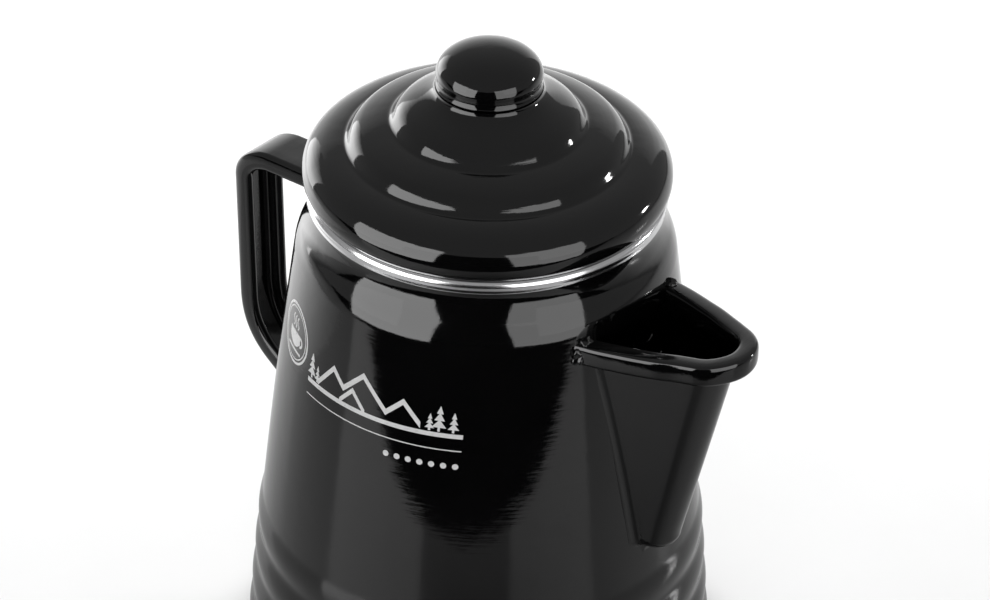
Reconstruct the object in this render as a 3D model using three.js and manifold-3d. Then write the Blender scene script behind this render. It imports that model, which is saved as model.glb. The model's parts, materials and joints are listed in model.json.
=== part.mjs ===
// Enamelled steel coffee percolator for a camp stove: a tapered, ripple-walled pot with a
// pouring spout and a strap handle, a stepped lid with a knob, and the brewing insert that
// stands inside it. Millimetres, +Z up, origin at the centre of the flat base, spout along +X,
// handle along -X.

import * as THREE from 'three';
import { mergeVertices } from 'three/addons/utils/BufferGeometryUtils.js';
import Module from 'manifold-3d';

const wasm = await Module();
wasm.setup();

// ---- driving dimensions -------------------------------------------------------------------

const FIT_GAP = 0.3; // clearance between pieces that rest on or are fixed to each other
const SHEET = 1.2; // enamelled sheet, steel and both coats

// pot body
const SEAM_HEIGHT = 5.5; // joint between the drawn base and the wall
const SEAM_RADIUS = 80.0;
const TAPER_HEIGHT = 163.5; // height at which the taper's upper radius is stated
const TAPER_RADIUS = 63.2;
const WALL_BELLY = 1.15; // how far the wall bulges past a straight taper
const WALL_STEPS = [85, 111, 137]; // heights of the facet rows above the ripples
const RIPPLE_TOP = 59.0; // height of the highest ripple valley
const RIPPLE_PITCH = 14.0;
const RIPPLE_COUNT = 4;
const RIPPLE_DEPTH = 0.9;
const RIPPLE_SOFTNESS = 0.35; // 0 gives sharp valleys
const SHOULDER_START = 159.0; // where the wall starts to lean in to the neck
const SHOULDER_MIDDLE = [61.2, 167.0]; // where it leans most
const SHOULDER_LEAN = THREE.MathUtils.degToRad(29);
const SHOULDER_PULL = 2.8; // length of the curves' handles
const NECK_RADIUS = 58.5;
const NECK_HEIGHT = 175.5; // where the neck is upright again
const BASE_BEND = 5.0;

// rolled rim and its bright band
const RIM_RADIUS = 57.4;
const RIM_HEIGHT = 180.3;
const RIM_ROLL = 1.9;
const BAND_OUTER = 2.7;
const BAND_SHEET = 0.5;
const BAND_OPENING = THREE.MathUtils.degToRad(40); // half of the gap under the band

// spout
const SPOUT_ROOT_X = 60.0; // inside the wall, where the spout's widths are stated
const SPOUT_TOP = { height: 154.0, keelX: 103.2, keelRadius: 10.3, halfWidth: 19.8 };
const SPOUT_FOOT = { height: 76.5, keelX: 84.4, keelRadius: 8.0, halfWidth: 11.6 };
const SPOUT_FLOOR_BEND = 5.0;
const LIP_RISE = 0.09; // climb of the lip for each millimetre outwards
const LIP_HALF_WIDTH = 3.5;
const LIP_HALF_HEIGHT = 3.9;
const LIP_SIDE_LENGTH = 42; // straight run of the lip on each side, before the wall trims it
const SPOUT_BACK_X = 50; // where the untrimmed trough ends, inside the wall
const STRAINER_HOLE = 2.4; // radius
const STRAINER_ROWS = [
  { height: 148.7, holes: 4 },
  { height: 139.7, holes: 3 },
  { height: 130.7, holes: 2 },
  { height: 121.7, holes: 1 },
];
const STRAINER_SPACING = 10.4;
const STRAINER_REACH = [50, 80]; // distances from the axis between which the holes are cut

// handle: outer line of the strap in the XZ plane, as distance from the axis and height
const HANDLE_TOP = { reach: 60, height: 161.4 };
const HANDLE_TOP_CORNER = { reach: 90, height: 160.2 };
const HANDLE_GRIP_TOP = { reach: 105.7, height: 146.5 };
const HANDLE_GRIP_BOTTOM = { reach: 104.2, height: 99 };
const HANDLE_LOW_CORNER = { reach: 91.5, height: 74.2 };
const HANDLE_END = { reach: 71, height: 59.5 };
const STRAP_HALF_WIDTH = 9.5;
const STRAP_DEPTH = 6.9;
const STRAP_SHEET = 1.6;
const STRAP_CURL = 4.0; // width of each rolled edge
const STRAP_FILLET = { across: 1.4, deep: 0.8 }; // between the web and each rolled edge
const STRAP_ROUND = { across: 1, deep: 0.6 }; // roundness of the outer corners
const CORNER_PULL = 0.38; // roundness of the handle's two bends

// lid
const LID_SEAT = 183.0; // height of the lid's lower edge
const LID_SHEET = 1.1;
const LID_BOSS_RADIUS = 17.8;
const LID_BOSS_HEIGHT = 37.2;
const LID_HOLE = 2.6;
const COLLAR_RADIUS = 53.9;
const COLLAR_SHEET = 0.8;
const COLLAR_DROP = 9.0; // how far the collar reaches below the lid's edge
const COLLAR_RISE = 12.6;

// knob
const KNOB_RADIUS = 17.6;
const KNOB_WALL = 4.4;
const KNOB_DOME = 9.6;
const KNOB_FLATNESS = 0.9; // below 1 squares the dome's shoulder
const KNOB_DOME_STEPS = 8;
const KNOB_SHEET = 1.2;
const KNOB_CORE_RADIUS = 15.0;
const KNOB_CORE_HEIGHT = 7.4;
const SCREW_RADIUS = 2.0;
const SCREW_HEAD_RADIUS = 4.2;
const SCREW_HEAD_HEIGHT = 2.2;
const SCREW_HEAD_BEVEL = { across: 0.8, high: 1 };
const SCREW_SLOT = { width: 1.2, depth: 0.9 };
const SCREW_LENGTH = 10.5;
const WASHER_RADIUS = 6.0;
const WASHER_SHEET = 0.8;

// brewing insert
const TUBE_RADIUS = 5.0;
const TUBE_BORE = 4.1;
const TUBE_BOTTOM = 6.8;
const TUBE_TOP = 178.0;
const TUBE_SLOT = { width: 2, depth: 1.5 }; // cross slots in the tube's lower end
const INSERT_SHEET = 0.8;
const FOOT_RADIUS = 36.0;
const FOOT_SKIRT = 3.0; // height of the foot's upright edge
const FOOT_CROWN = 14.0;
const FOOT_COLLAR_TOP = 22.0;
const FOOT_NOTCHES = 8;
const FOOT_NOTCH = { deep: 6, wide: 5, high: 1.5 };
const CAGE_RADIUS = 9.0;
const CAGE_TOP = 11.5;
const CAGE_INLET = 3.0;
const VALVE_RADIUS = 6.5;
const VALVE_SHEET = 0.8;
const STOP_RADIUS = 8.0;
const STOP_BOTTOM = 112.5;
const BASKET_FLOOR = 115.8;
const BASKET_TOP = 158.5;
const BASKET_FLOOR_RADIUS = 38.0;
const BASKET_TOP_RADIUS = 41.0;
const BASKET_CURL = 1.6;
const BASKET_CORNER = 3.0;
const SLEEVE_RECESS = 2.0; // how far the sleeve ends below the basket's rim
const COVER_SKIRT = 4.5;
const COVER_RADIUS = 44.0;
const COVER_BEND = 2.0;
const COVER_COLLAR = { wall: 2.2, height: 6 };
const SIEVE_HOLE = 1.5;
const SIEVE_CUT = 1.0; // how far the punches run past each face of a plate
const SIEVE_RINGS = [
  { radius: 16, holes: 8 },
  { radius: 28, holes: 14 },
];

const LARGE_STEPS = 36; // facets round the pot and lid
const SMALL_STEPS = 24; // facets round the insert and knob
const FINE_STEPS = 16; // facets round the tube and screw

// ---- finishes -------------------------------------------------------------------------------

const enamel = new THREE.MeshStandardMaterial({ color: 0x0b0b0c, roughness: 0.08, metalness: 0.0 });
const rimSteel = new THREE.MeshStandardMaterial({ color: 0xc9cacb, roughness: 0.28, metalness: 1.0 });
const insertSteel = new THREE.MeshStandardMaterial({ color: 0xb4b6b8, roughness: 0.34, metalness: 1.0 });
const zincSteel = new THREE.MeshStandardMaterial({ color: 0x9c9ea2, roughness: 0.4, metalness: 1.0 });
const phenolic = new THREE.MeshStandardMaterial({ color: 0x17130f, roughness: 0.5, metalness: 0.0 });

// ---- solid helpers --------------------------------------------------------------------------

// Six times the enclosed volume, negative when the faces point inwards.
function signedVolume(positions, indices) {
  let sum = 0;
  const a = new THREE.Vector3();
  const b = new THREE.Vector3();
  const c = new THREE.Vector3();
  for (let i = 0; i < indices.length; i += 3) {
    a.fromArray(positions, 3 * indices[i]);
    b.fromArray(positions, 3 * indices[i + 1]);
    c.fromArray(positions, 3 * indices[i + 2]);
    sum += a.dot(b.cross(c));
  }
  return sum;
}

// Turns a closed three.js geometry into a manifold solid whose faces point out.
function toSolid(geometry) {
  const bare = geometry.clone();
  bare.deleteAttribute('normal');
  bare.deleteAttribute('uv');
  const welded = mergeVertices(bare, 1e-4);
  const vertProperties = new Float32Array(welded.attributes.position.array);
  const kept = [];
  for (let i = 0; i < welded.index.count; i += 3) {
    const corner = [0, 1, 2].map((k) => welded.index.getX(i + k));
    const flat = corner[0] === corner[1] || corner[1] === corner[2] || corner[2] === corner[0];
    if (!flat) kept.push(...corner);
  }
  const triVerts = new Uint32Array(kept);
  if (signedVolume(vertProperties, triVerts) < 0) {
    for (let i = 0; i < triVerts.length; i += 3) {
      [triVerts[i], triVerts[i + 1]] = [triVerts[i + 1], triVerts[i]];
    }
  }
  return new wasm.Manifold(new wasm.Mesh({ numProp: 3, vertProperties, triVerts }));
}

function toGeometry(solid) {
  const mesh = solid.getMesh();
  const geometry = new THREE.BufferGeometry();
  const positions = new Float32Array(mesh.vertProperties);
  geometry.setAttribute('position', new THREE.BufferAttribute(positions, 3));
  geometry.setIndex(new THREE.BufferAttribute(new Uint32Array(mesh.triVerts), 1));
  geometry.computeVertexNormals();
  return geometry;
}

function namedMesh(name, solid, material) {
  const mesh = new THREE.Mesh(toGeometry(solid), material);
  mesh.name = name;
  return mesh;
}

// Revolves a profile of [radius, height] pairs about the Z axis.
function revolve(profile, steps = LARGE_STEPS) {
  const points = profile.map(([r, z]) => new THREE.Vector2(Math.max(r, 0), z));
  const onAxis = points[0].x === 0 && points[points.length - 1].x === 0;
  if (!onAxis) points.push(points[0].clone());
  return toSolid(new THREE.LatheGeometry(points, steps).rotateX(Math.PI / 2));
}

function tubeRing(inner, outer, bottom, top, steps = SMALL_STEPS) {
  return revolve([[inner, bottom], [outer, bottom], [outer, top], [inner, top]], steps);
}

function rod(radius, bottom, top, steps = SMALL_STEPS) {
  return revolve([[0, bottom], [radius, bottom], [radius, top], [0, top]], steps);
}

// A bar with a round section that lies along the direction at an angle from +X.
function radialRod(radius, from, to, height, angle, sides = 8) {
  const bar = new THREE.CylinderGeometry(radius, radius, to - from, sides);
  bar.rotateZ(Math.PI / 2).translate((from + to) / 2, 0, height).rotateZ(angle);
  return toSolid(bar);
}

function arcPoints(centre, radius, from, to, count) {
  return Array.from({ length: count + 1 }, (_, i) => {
    const angle = from + ((to - from) * i) / count;
    return [centre[0] + radius * Math.cos(angle), centre[1] + radius * Math.sin(angle)];
  });
}

// Moves every point of an open profile sideways, to its left for a positive distance.
function offsetProfile(profile, distance) {
  return profile.map(([r, z], i) => {
    const before = profile[Math.max(i - 1, 0)];
    const after = profile[Math.min(i + 1, profile.length - 1)];
    const along = new THREE.Vector2(after[0] - before[0], after[1] - before[1]).normalize();
    return [r - along.y * distance, z + along.x * distance];
  });
}

function subtractAll(solid, cutters) {
  return cutters.reduce((rest, cutter) => rest.subtract(cutter), solid);
}

// Upright pins set on rings, used to punch a perforated plate.
function sievePins(plateBottom) {
  const bottom = plateBottom - SIEVE_CUT;
  const top = plateBottom + INSERT_SHEET + SIEVE_CUT;
  const pins = [];
  for (const { radius, holes } of SIEVE_RINGS) {
    for (let i = 0; i < holes; i += 1) {
      const angle = (2 * Math.PI * i) / holes;
      const pin = new THREE.CylinderGeometry(SIEVE_HOLE, SIEVE_HOLE, top - bottom, 6);
      pin.rotateX(Math.PI / 2);
      pin.translate(radius * Math.cos(angle), radius * Math.sin(angle), (bottom + top) / 2);
      pins.push(toSolid(pin));
    }
  }
  return pins;
}

// ---- pot body -------------------------------------------------------------------------------

// Outer radius of the wall between the base seam and the shoulder.
function wallRadius(height) {
  const rise = (height - SEAM_HEIGHT) / (TAPER_HEIGHT - SEAM_HEIGHT);
  const taper = THREE.MathUtils.lerp(SEAM_RADIUS, TAPER_RADIUS, rise);
  const belly = WALL_BELLY * 4 * rise * (1 - rise);
  return taper + belly + rippleBulge(height);
}

// Broad round swells with narrow valleys between them.
function rippleBulge(height) {
  if (height >= RIPPLE_TOP) return 0;
  const wave = Math.sin((Math.PI * (RIPPLE_TOP - height)) / RIPPLE_PITCH);
  const soft = Math.hypot(wave, RIPPLE_SOFTNESS) - RIPPLE_SOFTNESS;
  return (RIPPLE_DEPTH * soft) / (Math.hypot(1, RIPPLE_SOFTNESS) - RIPPLE_SOFTNESS);
}

function wallHeights() {
  const heights = [SEAM_HEIGHT + FIT_GAP];
  const perRipple = 3;
  for (let i = RIPPLE_COUNT * perRipple - 1; i >= 0; i -= 1) {
    const height = RIPPLE_TOP - (i * RIPPLE_PITCH) / perRipple;
    if (height > heights[0] + 1) heights.push(height);
  }
  return [...heights, ...WALL_STEPS, SHOULDER_START];
}

// The point a distance ahead of another on a line that leans in from upright.
function leaning([r, z], lean, distance) {
  return [r - Math.sin(lean) * distance, z + Math.cos(lean) * distance];
}

// S-curve from the top of the wall to the upright neck.
function shoulderCurve(divisions) {
  const start = [wallRadius(SHOULDER_START), SHOULDER_START];
  const wallLean = Math.atan2(SEAM_RADIUS - TAPER_RADIUS, TAPER_HEIGHT - SEAM_HEIGHT);
  const neck = [NECK_RADIUS, NECK_HEIGHT];
  const path = new THREE.Path();
  path.moveTo(...start);
  path.bezierCurveTo(
    ...leaning(start, wallLean, SHOULDER_PULL),
    ...leaning(SHOULDER_MIDDLE, SHOULDER_LEAN, -SHOULDER_PULL),
    ...SHOULDER_MIDDLE,
  );
  path.bezierCurveTo(
    ...leaning(SHOULDER_MIDDLE, SHOULDER_LEAN, SHOULDER_PULL),
    ...leaning(neck, 0, -SHOULDER_PULL),
    ...neck,
  );
  return path.getPoints(divisions).map(({ x, y }) => [x, y]);
}

// Outline of the wall, the shoulder and the neck, from the seam up, moved in by an inset.
function potOutline(inset) {
  const wall = wallHeights().map((height) => [wallRadius(height) - inset, height]);
  return [...wall, ...offsetProfile(shoulderCurve(3), inset).slice(1)];
}

// The pot's outer form as a solid block, swollen by the fitting gap, to trim what meets it.
function potBlock() {
  const outline = potOutline(-FIT_GAP);
  const top = [outline[outline.length - 1][0], RIM_HEIGHT];
  const foot = [outline[0][0], 0];
  return revolve([[0, 0], foot, ...outline, top, [0, RIM_HEIGHT]]);
}

function strainerRods() {
  const rods = [];
  for (const { height, holes } of STRAINER_ROWS) {
    for (let i = 0; i < holes; i += 1) {
      const across = (i - (holes - 1) / 2) * STRAINER_SPACING;
      const angle = across / wallRadius(height);
      rods.push(radialRod(STRAINER_HOLE, ...STRAINER_REACH, height, angle));
    }
  }
  return rods;
}

function potShell() {
  const outer = potOutline(0);
  const inner = potOutline(SHEET).reverse();
  const neckOuter = outer[outer.length - 1][0];
  const neckInner = inner[0][0];
  const roll = [RIM_RADIUS, RIM_HEIGHT];
  const fromAngle = -Math.acos((neckOuter - RIM_RADIUS) / RIM_ROLL);
  const toAngle = 2 * Math.PI - Math.acos((neckInner - RIM_RADIUS) / RIM_ROLL);
  const bead = arcPoints(roll, RIM_ROLL, fromAngle, toAngle, 7);
  return subtractAll(revolve([...outer, ...bead, ...inner]), strainerRods());
}

function basePlate() {
  const seam = wallRadius(SEAM_HEIGHT);
  const corner = [seam - BASE_BEND, BASE_BEND];
  const outer = arcPoints(corner, BASE_BEND, -Math.PI / 2, 0, 3);
  const inner = arcPoints(corner, BASE_BEND - SHEET, 0, -Math.PI / 2, 2);
  const seamEdge = [[seam, SEAM_HEIGHT], [seam - SHEET, SEAM_HEIGHT]];
  return revolve([[0, 0], ...outer, ...seamEdge, ...inner, [0, SHEET]]);
}

function rimBand() {
  const roll = [RIM_RADIUS, RIM_HEIGHT];
  const from = -Math.PI / 2 + BAND_OPENING;
  const to = (3 * Math.PI) / 2 - BAND_OPENING;
  const outer = arcPoints(roll, BAND_OUTER, from, to, 7);
  const inner = arcPoints(roll, BAND_OUTER - BAND_SHEET, to, from, 7);
  return revolve([...outer, ...inner]);
}

// ---- spout ----------------------------------------------------------------------------------

// Angle between a side of the trough and the XZ plane.
function sideAngle({ keelX, keelRadius, halfWidth }) {
  const run = keelX - keelRadius - SPOUT_ROOT_X;
  return Math.atan2(halfWidth, run) - Math.asin(keelRadius / Math.hypot(run, halfWidth));
}

// Outline of the trough from above: straight side, round keel, straight side.
class KeelCurve extends THREE.Curve {
  constructor(section, sideLength) {
    super();
    this.radius = section.keelRadius;
    this.centreX = section.keelX - section.keelRadius;
    this.angle = sideAngle(section);
    this.arcLength = 2 * (Math.PI / 2 - this.angle) * this.radius;
    this.total = this.arcLength + 2 * sideLength;
  }

  getPoint(t, target = new THREE.Vector3()) {
    const travelled = t * this.total - this.total / 2;
    const onArc = THREE.MathUtils.clamp(travelled, -this.arcLength / 2, this.arcLength / 2);
    const turn = onArc / this.radius;
    const beyond = Math.abs(travelled - onArc);
    const side = Math.sign(travelled);
    return target.set(
      this.centreX + this.radius * Math.cos(turn) - beyond * Math.cos(this.angle),
      this.radius * Math.sin(turn) + side * beyond * Math.sin(this.angle),
      0,
    );
  }
}

// Shrinks a spout section on all sides by an inset.
function insetSection(section, inset) {
  return {
    height: section.height,
    keelX: section.keelX - inset,
    keelRadius: section.keelRadius - inset,
    halfWidth: section.halfWidth - inset,
  };
}

// One level of the trough as a closed ring of points that starts and ends inside the wall.
function troughRing(section) {
  const angle = sideAngle(section);
  const turn = Math.PI / 2 - angle;
  const centre = [section.keelX - section.keelRadius, 0];
  const keel = arcPoints(centre, section.keelRadius, -turn, turn, 10);
  const backY = section.halfWidth + (SPOUT_ROOT_X - SPOUT_BACK_X) * Math.tan(angle);
  return [[SPOUT_BACK_X, -backY], ...keel, [SPOUT_BACK_X, backY]].map(
    ([x, y]) => new THREE.Vector3(x, y, section.height + LIP_RISE * (x - SPOUT_ROOT_X)));
}

// Solid between a stack of rings with equal numbers of points, capped at both ends.
function loft(rings) {
  const count = rings[0].length;
  const positions = rings.flat().flatMap((point) => point.toArray());
  const indices = [];
  for (let level = 0; level < rings.length - 1; level += 1) {
    for (let i = 0; i < count; i += 1) {
      const next = (i + 1) % count;
      const low = level * count;
      const high = low + count;
      indices.push(low + i, low + next, high + next, low + i, high + next, high + i);
    }
  }
  const last = (rings.length - 1) * count;
  for (let i = 1; i < count - 1; i += 1) {
    indices.push(0, i + 1, i, last, last + i, last + i + 1);
  }
  const geometry = new THREE.BufferGeometry();
  geometry.setAttribute('position', new THREE.Float32BufferAttribute(positions, 3));
  geometry.setIndex(indices);
  return toSolid(geometry);
}

// The trough as a solid block, with a rounded floor, shrunk by an inset.
function troughBlock(inset, extraHeight) {
  const floorTurns = [90, 60, 30, 0].map(THREE.MathUtils.degToRad);
  const bend = SPOUT_FLOOR_BEND - inset;
  const floor = floorTurns.map((turn) => {
    const section = insetSection(SPOUT_FOOT, inset + bend * (1 - Math.cos(turn)));
    return { ...section, height: SPOUT_FOOT.height - bend * Math.sin(turn) };
  });
  const top = insetSection(SPOUT_TOP, inset);
  const rise = 1 + extraHeight / (SPOUT_TOP.height - SPOUT_FOOT.height);
  const reach = Object.fromEntries(Object.keys(top).map((key) => {
    const foot = floor[floor.length - 1][key];
    return [key, foot + (top[key] - foot) * rise];
  }));
  return loft([...floor, reach].map(troughRing));
}

function spoutLip() {
  const lip = insetSection(SPOUT_TOP, SHEET - LIP_HALF_WIDTH);
  const section = new THREE.Shape();
  section.absellipse(0, 0, LIP_HALF_HEIGHT, LIP_HALF_WIDTH, 0, 2 * Math.PI);
  const roll = new THREE.ExtrudeGeometry(section, {
    extrudePath: new KeelCurve(lip, LIP_SIDE_LENGTH),
    steps: 22,
    curveSegments: 5,
    bevelEnabled: false,
  });
  const climb = new THREE.Matrix4().set(
    1, 0, 0, 0,
    0, 1, 0, 0,
    LIP_RISE, 0, 1, SPOUT_TOP.height - LIP_RISE * SPOUT_ROOT_X,
    0, 0, 0, 1,
  );
  return toSolid(roll.applyMatrix4(climb));
}

function spout() {
  const above = 10;
  const filled = troughBlock(0, 0).add(spoutLip());
  return filled.subtract(troughBlock(SHEET, above)).subtract(potBlock());
}

// ---- handle ---------------------------------------------------------------------------------

function handlePoint({ reach, height }) {
  return new THREE.Vector3(-reach, 0, height);
}

// Cubic corner that leaves one straight and joins the next.
function handleCorner(before, from, to, after) {
  const start = handlePoint(from);
  const end = handlePoint(to);
  const pull = start.distanceTo(end) * CORNER_PULL;
  const out = start.clone().sub(handlePoint(before)).setLength(pull).add(start);
  const back = end.clone().sub(handlePoint(after)).setLength(pull).add(end);
  return new THREE.CubicBezierCurve3(start, out, back, end);
}

function handlePath() {
  const path = new THREE.CurvePath();
  const stops = [HANDLE_TOP, HANDLE_TOP_CORNER, HANDLE_GRIP_TOP];
  const lower = [HANDLE_GRIP_BOTTOM, HANDLE_LOW_CORNER, HANDLE_END];
  path.add(new THREE.LineCurve3(handlePoint(stops[0]), handlePoint(stops[1])));
  path.add(handleCorner(stops[0], stops[1], stops[2], lower[0]));
  path.add(new THREE.LineCurve3(handlePoint(stops[2]), handlePoint(lower[0])));
  path.add(handleCorner(stops[2], lower[0], lower[1], lower[2]));
  path.add(new THREE.LineCurve3(handlePoint(lower[1]), handlePoint(lower[2])));
  return path;
}

// Strap section: x across the strap, y = 0 at its outer face and negative towards the pot.
function strapSection() {
  const curlRadius = STRAP_CURL / 2;
  const curlX = STRAP_HALF_WIDTH - curlRadius;
  const curlY = -STRAP_DEPTH + curlRadius;
  const webX = curlX - curlRadius;
  const cornerX = STRAP_HALF_WIDTH - STRAP_ROUND.across;
  const filletX = webX - STRAP_FILLET.across;
  const filletY = -STRAP_SHEET - STRAP_FILLET.deep;
  const section = new THREE.Shape();
  section.moveTo(-STRAP_HALF_WIDTH, curlY);
  section.bezierCurveTo(-STRAP_HALF_WIDTH, -STRAP_ROUND.deep, -cornerX, 0, -curlX, 0);
  section.lineTo(curlX, 0);
  section.bezierCurveTo(cornerX, 0, STRAP_HALF_WIDTH, -STRAP_ROUND.deep, STRAP_HALF_WIDTH, curlY);
  section.absarc(curlX, curlY, curlRadius, 0, -Math.PI, true);
  section.lineTo(webX, filletY);
  section.lineTo(filletX, -STRAP_SHEET);
  section.lineTo(-filletX, -STRAP_SHEET);
  section.lineTo(-webX, filletY);
  section.lineTo(-webX, curlY);
  section.absarc(-curlX, curlY, curlRadius, 0, -Math.PI, true);
  return section;
}

function handle() {
  const strap = new THREE.ExtrudeGeometry(strapSection(), {
    extrudePath: handlePath(),
    steps: 24,
    curveSegments: 3,
    bevelEnabled: false,
  });
  return toSolid(strap).subtract(potBlock());
}

// ---- lid ------------------------------------------------------------------------------------

// Outer line of the lid from its edge up to the knob boss: three round steps with a valley
// after the first and the second, then a fillet into the boss.
function lidOutline(divisions) {
  const path = new THREE.Path();
  path.moveTo(59.2, 0);
  path.bezierCurveTo(62.7, 4.0, 61.8, 11.4, 54.6, 14.3);
  path.bezierCurveTo(52.2, 15.3, 49.6, 15.7, 47.8, 15.8);
  path.bezierCurveTo(45.8, 15.9, 46, 19.4, 42, 21.5);
  path.bezierCurveTo(39.5, 22.6, 36.5, 23.4, 33.2, 23.8);
  path.bezierCurveTo(31.4, 24, 31.2, 27, 28, 29.4);
  path.bezierCurveTo(25.2, 31.5, 21.5, 33, 19.4, 34.6);
  path.bezierCurveTo(18.2, 35.5, LID_BOSS_RADIUS, 36.3, LID_BOSS_RADIUS, LID_BOSS_HEIGHT);
  return path.getPoints(divisions).map(({ x, y }) => [x, y]);
}

function lidShell() {
  const outer = lidOutline(3);
  const inner = offsetProfile(lidOutline(2), LID_SHEET);
  inner[0][1] = 0;
  inner[inner.length - 1] = [LID_BOSS_RADIUS - LID_SHEET, LID_BOSS_HEIGHT - LID_SHEET];
  const top = [LID_HOLE, LID_BOSS_HEIGHT];
  const hole = [LID_HOLE, LID_BOSS_HEIGHT - LID_SHEET];
  return revolve([...outer, top, hole, ...inner.reverse()]).translate([0, 0, LID_SEAT]);
}

function lidCollar() {
  const bottom = LID_SEAT - COLLAR_DROP;
  const top = LID_SEAT + COLLAR_RISE;
  return tubeRing(COLLAR_RADIUS - COLLAR_SHEET, COLLAR_RADIUS, bottom, top, LARGE_STEPS);
}

// ---- knob -----------------------------------------------------------------------------------

const KNOB_SEAT = LID_SEAT + LID_BOSS_HEIGHT + FIT_GAP;

// Flattened dome above a short upright wall.
function knobOutline(inset) {
  const shoulderHeight = KNOB_SEAT + KNOB_WALL;
  const dome = Array.from({ length: KNOB_DOME_STEPS + 1 }, (_, i) => {
    const angle = (Math.PI / 2) * (i / KNOB_DOME_STEPS);
    const radius = i === KNOB_DOME_STEPS ? 0 : (KNOB_RADIUS - inset) * Math.cos(angle) ** KNOB_FLATNESS;
    return [radius, shoulderHeight + (KNOB_DOME - inset) * Math.sin(angle)];
  });
  return [[KNOB_RADIUS - inset, KNOB_SEAT], ...dome];
}

function knobCap() {
  const inner = knobOutline(KNOB_SHEET).reverse();
  return revolve([...inner, ...knobOutline(0)], SMALL_STEPS);
}

function knobCore() {
  const bore = SCREW_RADIUS + FIT_GAP;
  return tubeRing(bore, KNOB_CORE_RADIUS, KNOB_SEAT, KNOB_SEAT + KNOB_CORE_HEIGHT);
}

function knobWasher() {
  const top = LID_SEAT + LID_BOSS_HEIGHT - LID_SHEET - FIT_GAP;
  return tubeRing(SCREW_RADIUS + FIT_GAP, WASHER_RADIUS, top - WASHER_SHEET, top);
}

function knobScrew() {
  const seat = LID_SEAT + LID_BOSS_HEIGHT - LID_SHEET - 2 * FIT_GAP - WASHER_SHEET;
  const bottom = seat - SCREW_HEAD_HEIGHT;
  const head = [
    [0, bottom],
    [SCREW_HEAD_RADIUS - SCREW_HEAD_BEVEL.across, bottom],
    [SCREW_HEAD_RADIUS, bottom + SCREW_HEAD_BEVEL.high],
    [SCREW_HEAD_RADIUS, seat],
  ];
  const shank = [[SCREW_RADIUS, seat], [SCREW_RADIUS, seat + SCREW_LENGTH], [0, seat + SCREW_LENGTH]];
  const slot = new THREE.BoxGeometry(3 * SCREW_HEAD_RADIUS, SCREW_SLOT.width, 2 * SCREW_SLOT.depth);
  slot.translate(0, 0, bottom);
  return revolve([...head, ...shank], FINE_STEPS).subtract(toSolid(slot));
}

// ---- brewing insert -------------------------------------------------------------------------

function riserTube() {
  const wall = tubeRing(TUBE_BORE, TUBE_RADIUS, TUBE_BOTTOM, TUBE_TOP, FINE_STEPS);
  const slots = [0, Math.PI / 2].map((angle) => {
    const slot = new THREE.BoxGeometry(3 * TUBE_RADIUS, TUBE_SLOT.width, 2 * TUBE_SLOT.depth);
    return toSolid(slot.rotateZ(angle).translate(0, 0, TUBE_BOTTOM));
  });
  return subtractAll(wall, slots);
}

// Bell that stands on the pot's floor, traps the steam and feeds the tube.
function pumpFoot() {
  const floor = SHEET + FIT_GAP;
  const collar = TUBE_RADIUS + FIT_GAP;
  const outer = [
    [FOOT_RADIUS, floor],
    [FOOT_RADIUS, floor + FOOT_SKIRT],
    [collar + INSERT_SHEET, FOOT_CROWN],
    [collar + INSERT_SHEET, FOOT_COLLAR_TOP],
  ];
  const inner = [
    [collar, FOOT_COLLAR_TOP],
    [collar, FOOT_CROWN - INSERT_SHEET],
    [FOOT_RADIUS - INSERT_SHEET, floor + FOOT_SKIRT - INSERT_SHEET],
    [FOOT_RADIUS - INSERT_SHEET, floor],
  ];
  const notches = Array.from({ length: FOOT_NOTCHES }, (_, i) => {
    const notch = new THREE.BoxGeometry(FOOT_NOTCH.deep, FOOT_NOTCH.wide, 2 * FOOT_NOTCH.high);
    notch.translate(FOOT_RADIUS, 0, floor).rotateZ((2 * Math.PI * (i + 0.5)) / FOOT_NOTCHES);
    return toSolid(notch);
  });
  return subtractAll(revolve([...outer, ...inner], SMALL_STEPS), notches);
}

// Cup under the tube that holds the loose valve disc over its inlet hole.
function valveCage() {
  const floor = SHEET + 2 * FIT_GAP;
  const wall = CAGE_RADIUS - INSERT_SHEET;
  return revolve([
    [CAGE_INLET, floor],
    [CAGE_RADIUS, floor],
    [CAGE_RADIUS, CAGE_TOP],
    [wall, CAGE_TOP],
    [wall, floor + INSERT_SHEET],
    [CAGE_INLET, floor + INSERT_SHEET],
  ], SMALL_STEPS);
}

function valveDisc() {
  const bottom = SHEET + 3 * FIT_GAP + INSERT_SHEET;
  return rod(VALVE_RADIUS, bottom, bottom + VALVE_SHEET);
}

function basketStop() {
  return tubeRing(TUBE_RADIUS + FIT_GAP, STOP_RADIUS, STOP_BOTTOM, BASKET_FLOOR - FIT_GAP);
}

function basketCup() {
  const hole = TUBE_RADIUS + 2 * FIT_GAP + INSERT_SHEET + FIT_GAP;
  const corner = [BASKET_FLOOR_RADIUS - BASKET_CORNER, BASKET_FLOOR + BASKET_CORNER];
  const outerCorner = arcPoints(corner, BASKET_CORNER, -Math.PI / 2, 0, 3);
  const innerCorner = arcPoints(corner, BASKET_CORNER - INSERT_SHEET, 0, -Math.PI / 2, 2);
  const rim = [BASKET_TOP_RADIUS, BASKET_TOP - BASKET_CURL];
  const curl = arcPoints(rim, BASKET_CURL, -Math.PI / 2, Math.PI, 6);
  const floor = [[hole, BASKET_FLOOR + INSERT_SHEET], [hole, BASKET_FLOOR]];
  const inside = [BASKET_TOP_RADIUS - BASKET_CURL, BASKET_TOP - 2 * BASKET_CURL];
  const cup = revolve([...floor, ...outerCorner, ...curl, inside, ...innerCorner], SMALL_STEPS);
  return subtractAll(cup, sievePins(BASKET_FLOOR));
}

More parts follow.
